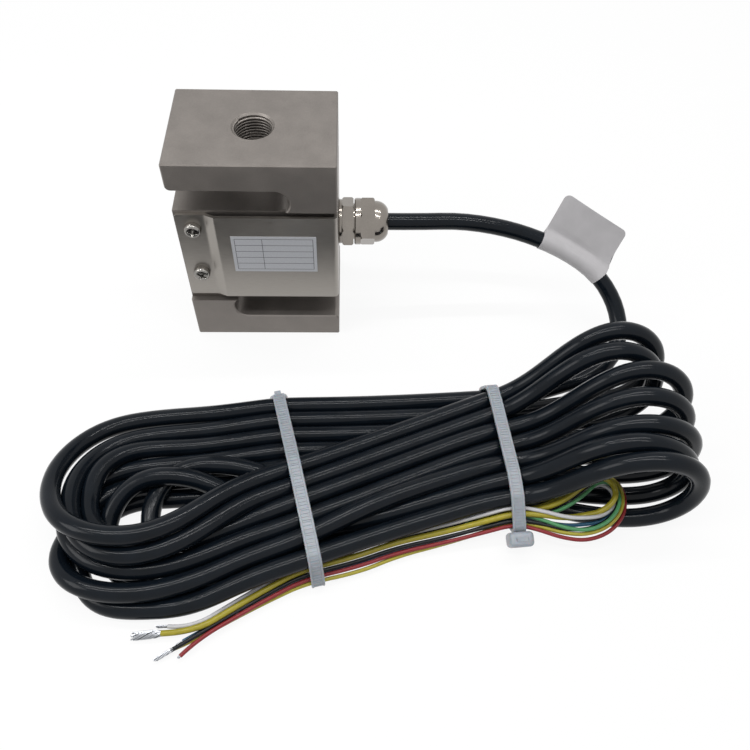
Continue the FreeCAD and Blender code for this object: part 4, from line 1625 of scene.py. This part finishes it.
# ---------------------------------------------------------------- screws and threads
class Face(Enum):
    """The beam's two covered faces: the front at -Y and the back at +Y."""

    FRONT = -1
    BACK = 1


@dataclass
class CoverScrews:
    """Two pan-head screws with a cross recess on one face."""

    face: Face
    x: float = -19.9
    heights: tuple[float, float] = (31.0, 50.5)
    seat: float = 16.95
    head_radius: float = 2.7
    head_height: float = 2.2
    shank: tuple[float, float] = (1.5, 6.0)
    turns: tuple[float, float] = (34.0, 12.0)

    def template(self) -> bpy.types.Object:
        """One screw along the face's outward direction, with the recess sunk into its crown.

        Returns:
            The screw, to be set on each hole.
        """
        top, rim = self.head_height, self.head_radius
        shape = [(r, top - 0.10 * (r / 1.9) ** 2) for r in np.arange(0, 1.81, 0.12)]
        shape += [(2.0, top - .14), (2.2, top - .24), (2.38, top - .42), (2.54, top - .70), (2.64, top - 1.0),
                  (rim, top - 1.35), (rim, 0.06), (rim - 0.06, 0.0), (self.shank[0], 0.0),
                  (self.shank[0], -self.shank[1]), (0.0, -self.shank[1])]
        around = 72
        points: list[Point] = []
        for r, h in shape:
            for j in range(around):
                a = 2 * math.pi * j / around
                x, z = r * math.cos(a), r * math.sin(a)
                sunk = 0.0
                if r < 1.85 and h > 0:
                    for p, q in ((abs(x), abs(z)), (abs(z), abs(x))):
                        inside = min(max((0.40 - p) / 0.14, 0), 1) * min(max((1.62 - q) / 0.22, 0), 1)
                        sunk = max(sunk, inside * (1.15 - 0.28 * q))
                points.append((x, self.face.value * (h - sunk), z))
        faces = []
        for k in range(len(shape) - 1):
            for j in range(around):
                n = (j + 1) % around
                faces.append((k * around + j, k * around + n, (k + 1) * around + n, (k + 1) * around + j))
        return mesh_object("screw_template", points, faces)

    def build(self, finishes: Finishes) -> bpy.types.Object:
        """Sets a screw on each hole with a geometry node tree.

        Args:
            finishes: The part's finishes.

        Returns:
            The face's screws as one piece.
        """
        template = self.template()
        name = f"screws_{self.face.name.lower()}"
        seeds = seed_mesh(f"{name}_places", [(self.x, self.face.value * self.seat, z) for z in self.heights],
                          {"spin": [(0, math.radians(a), 0) for a in self.turns]})
        tree = GeometryTree(name, (("Screw", "NodeSocketObject", None),))
        info = tree.node("GeometryNodeObjectInfo", transform_space="ORIGINAL")
        tree.link(tree.start.outputs["Screw"], info.inputs["Object"])
        read = tree.node("GeometryNodeInputNamedAttribute", data_type="FLOAT_VECTOR")
        read.inputs["Name"].default_value = "spin"
        turn = tree.node("FunctionNodeEulerToRotation")
        tree.link(read.outputs["Attribute"], turn.inputs[0])
        place = tree.node("GeometryNodeInstanceOnPoints")
        tree.link(tree.start.outputs["Geometry"], place.inputs["Points"])
        tree.link(info.outputs["Geometry"], place.inputs["Instance"])
        tree.link(turn.outputs[0], place.inputs["Rotation"])
        tree.close(place.outputs["Instances"])
        obj = tree.run(name, seeds, {"Screw": template, "Material": finishes["screw_steel"]})
        bpy.data.objects.remove(template)
        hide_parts(f"cover_{name}")
        settle(obj)
        return obj


@dataclass
class LoadThread:
    """The ridge of a load thread, wound on the wall of its bore."""

    name: str
    low: float
    radius: float = 6.0
    turns: float = 8.6
    length: float = 8.8
    depth: float = 0.54

    def build(self, finishes: Finishes) -> bpy.types.Object:
        """Winds the ridge with a geometry node tree.

        Args:
            finishes: The part's finishes.

        Returns:
            The ridge.
        """
        tree = GeometryTree(self.name, (("Radius", "NodeSocketFloat", self.radius * MM),
                                        ("Turns", "NodeSocketFloat", self.turns),
                                        ("Length", "NodeSocketFloat", self.length * MM),
                                        ("Depth", "NodeSocketFloat", self.depth * MM),
                                        ("Low End", "NodeSocketVector", (0.0, 0.0, self.low * MM))))
        spiral = tree.node("GeometryNodeCurveSpiral")
        spiral.inputs["Resolution"].default_value = 72
        for label, source in (("Rotations", "Turns"), ("Start Radius", "Radius"), ("End Radius", "Radius"),
                              ("Height", "Length")):
            tree.link(tree.start.outputs[source], spiral.inputs[label])
        upright = tree.node("GeometryNodeSetCurveNormal")
        upright.mode = "Z_UP"
        ridge = tree.node("GeometryNodeCurvePrimitiveCircle", mode="RADIUS")
        ridge.inputs["Resolution"].default_value = 4
        tree.link(tree.start.outputs["Depth"], ridge.inputs["Radius"])
        body = tree.node("GeometryNodeCurveToMesh")
        body.inputs["Fill Caps"].default_value = True
        move = tree.node("GeometryNodeTransform")
        tree.link(spiral.outputs["Curve"], upright.inputs["Curve"])
        tree.link(upright.outputs["Curve"], body.inputs["Curve"])
        tree.link(ridge.outputs["Curve"], body.inputs["Profile Curve"])
        tree.link(body.outputs["Mesh"], move.inputs["Geometry"])
        tree.link(tree.start.outputs["Low End"], move.inputs["Translation"])
        tree.close(move.outputs["Geometry"])
        obj = tree.run(self.name, bpy.data.meshes.new(f"{self.name}_start"),
                       {"Material": finishes["beam_steel"]})
        settle(obj)
        return obj


def main() -> None:
    """Builds the part's looks in order."""
    logging.basicConfig(level=logging.INFO, format="%(name)s: %(message)s")
    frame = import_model()
    scene = bpy.context.scene
    scene.view_settings.view_transform = "Standard"
    StudioCamera().build()
    finishes = Finishes()
    finishes.dress(frame)

    lines = Conductors().build(finishes)
    cable, cable_line = CableRun().build(lines, finishes)
    lines.append((cable_line, CABLE_RADIUS))

    left_tie = CableTie("left", TiePlace.LEFT, HeadSide.FAR, head=(6.2, 3.0, 4.2), seat=1.9)
    right_tie = CableTie("right", TiePlace.RIGHT, HeadSide.NEAR)
    ties = left_tie.build(lines, finishes) + right_tie.build(lines, finishes)
    flag = MarkerFlag().build(cable_line[:400], finishes)

    for face in Face:
        CoverScrews(face).build(finishes)
    LoadThread("load_thread_top", 66.6).build(finishes)
    LoadThread("load_thread_bottom", 0.8).build(finishes)

    Studio().build()
    bpy.context.view_layer.update()


if __name__ == "__main__":
    main()
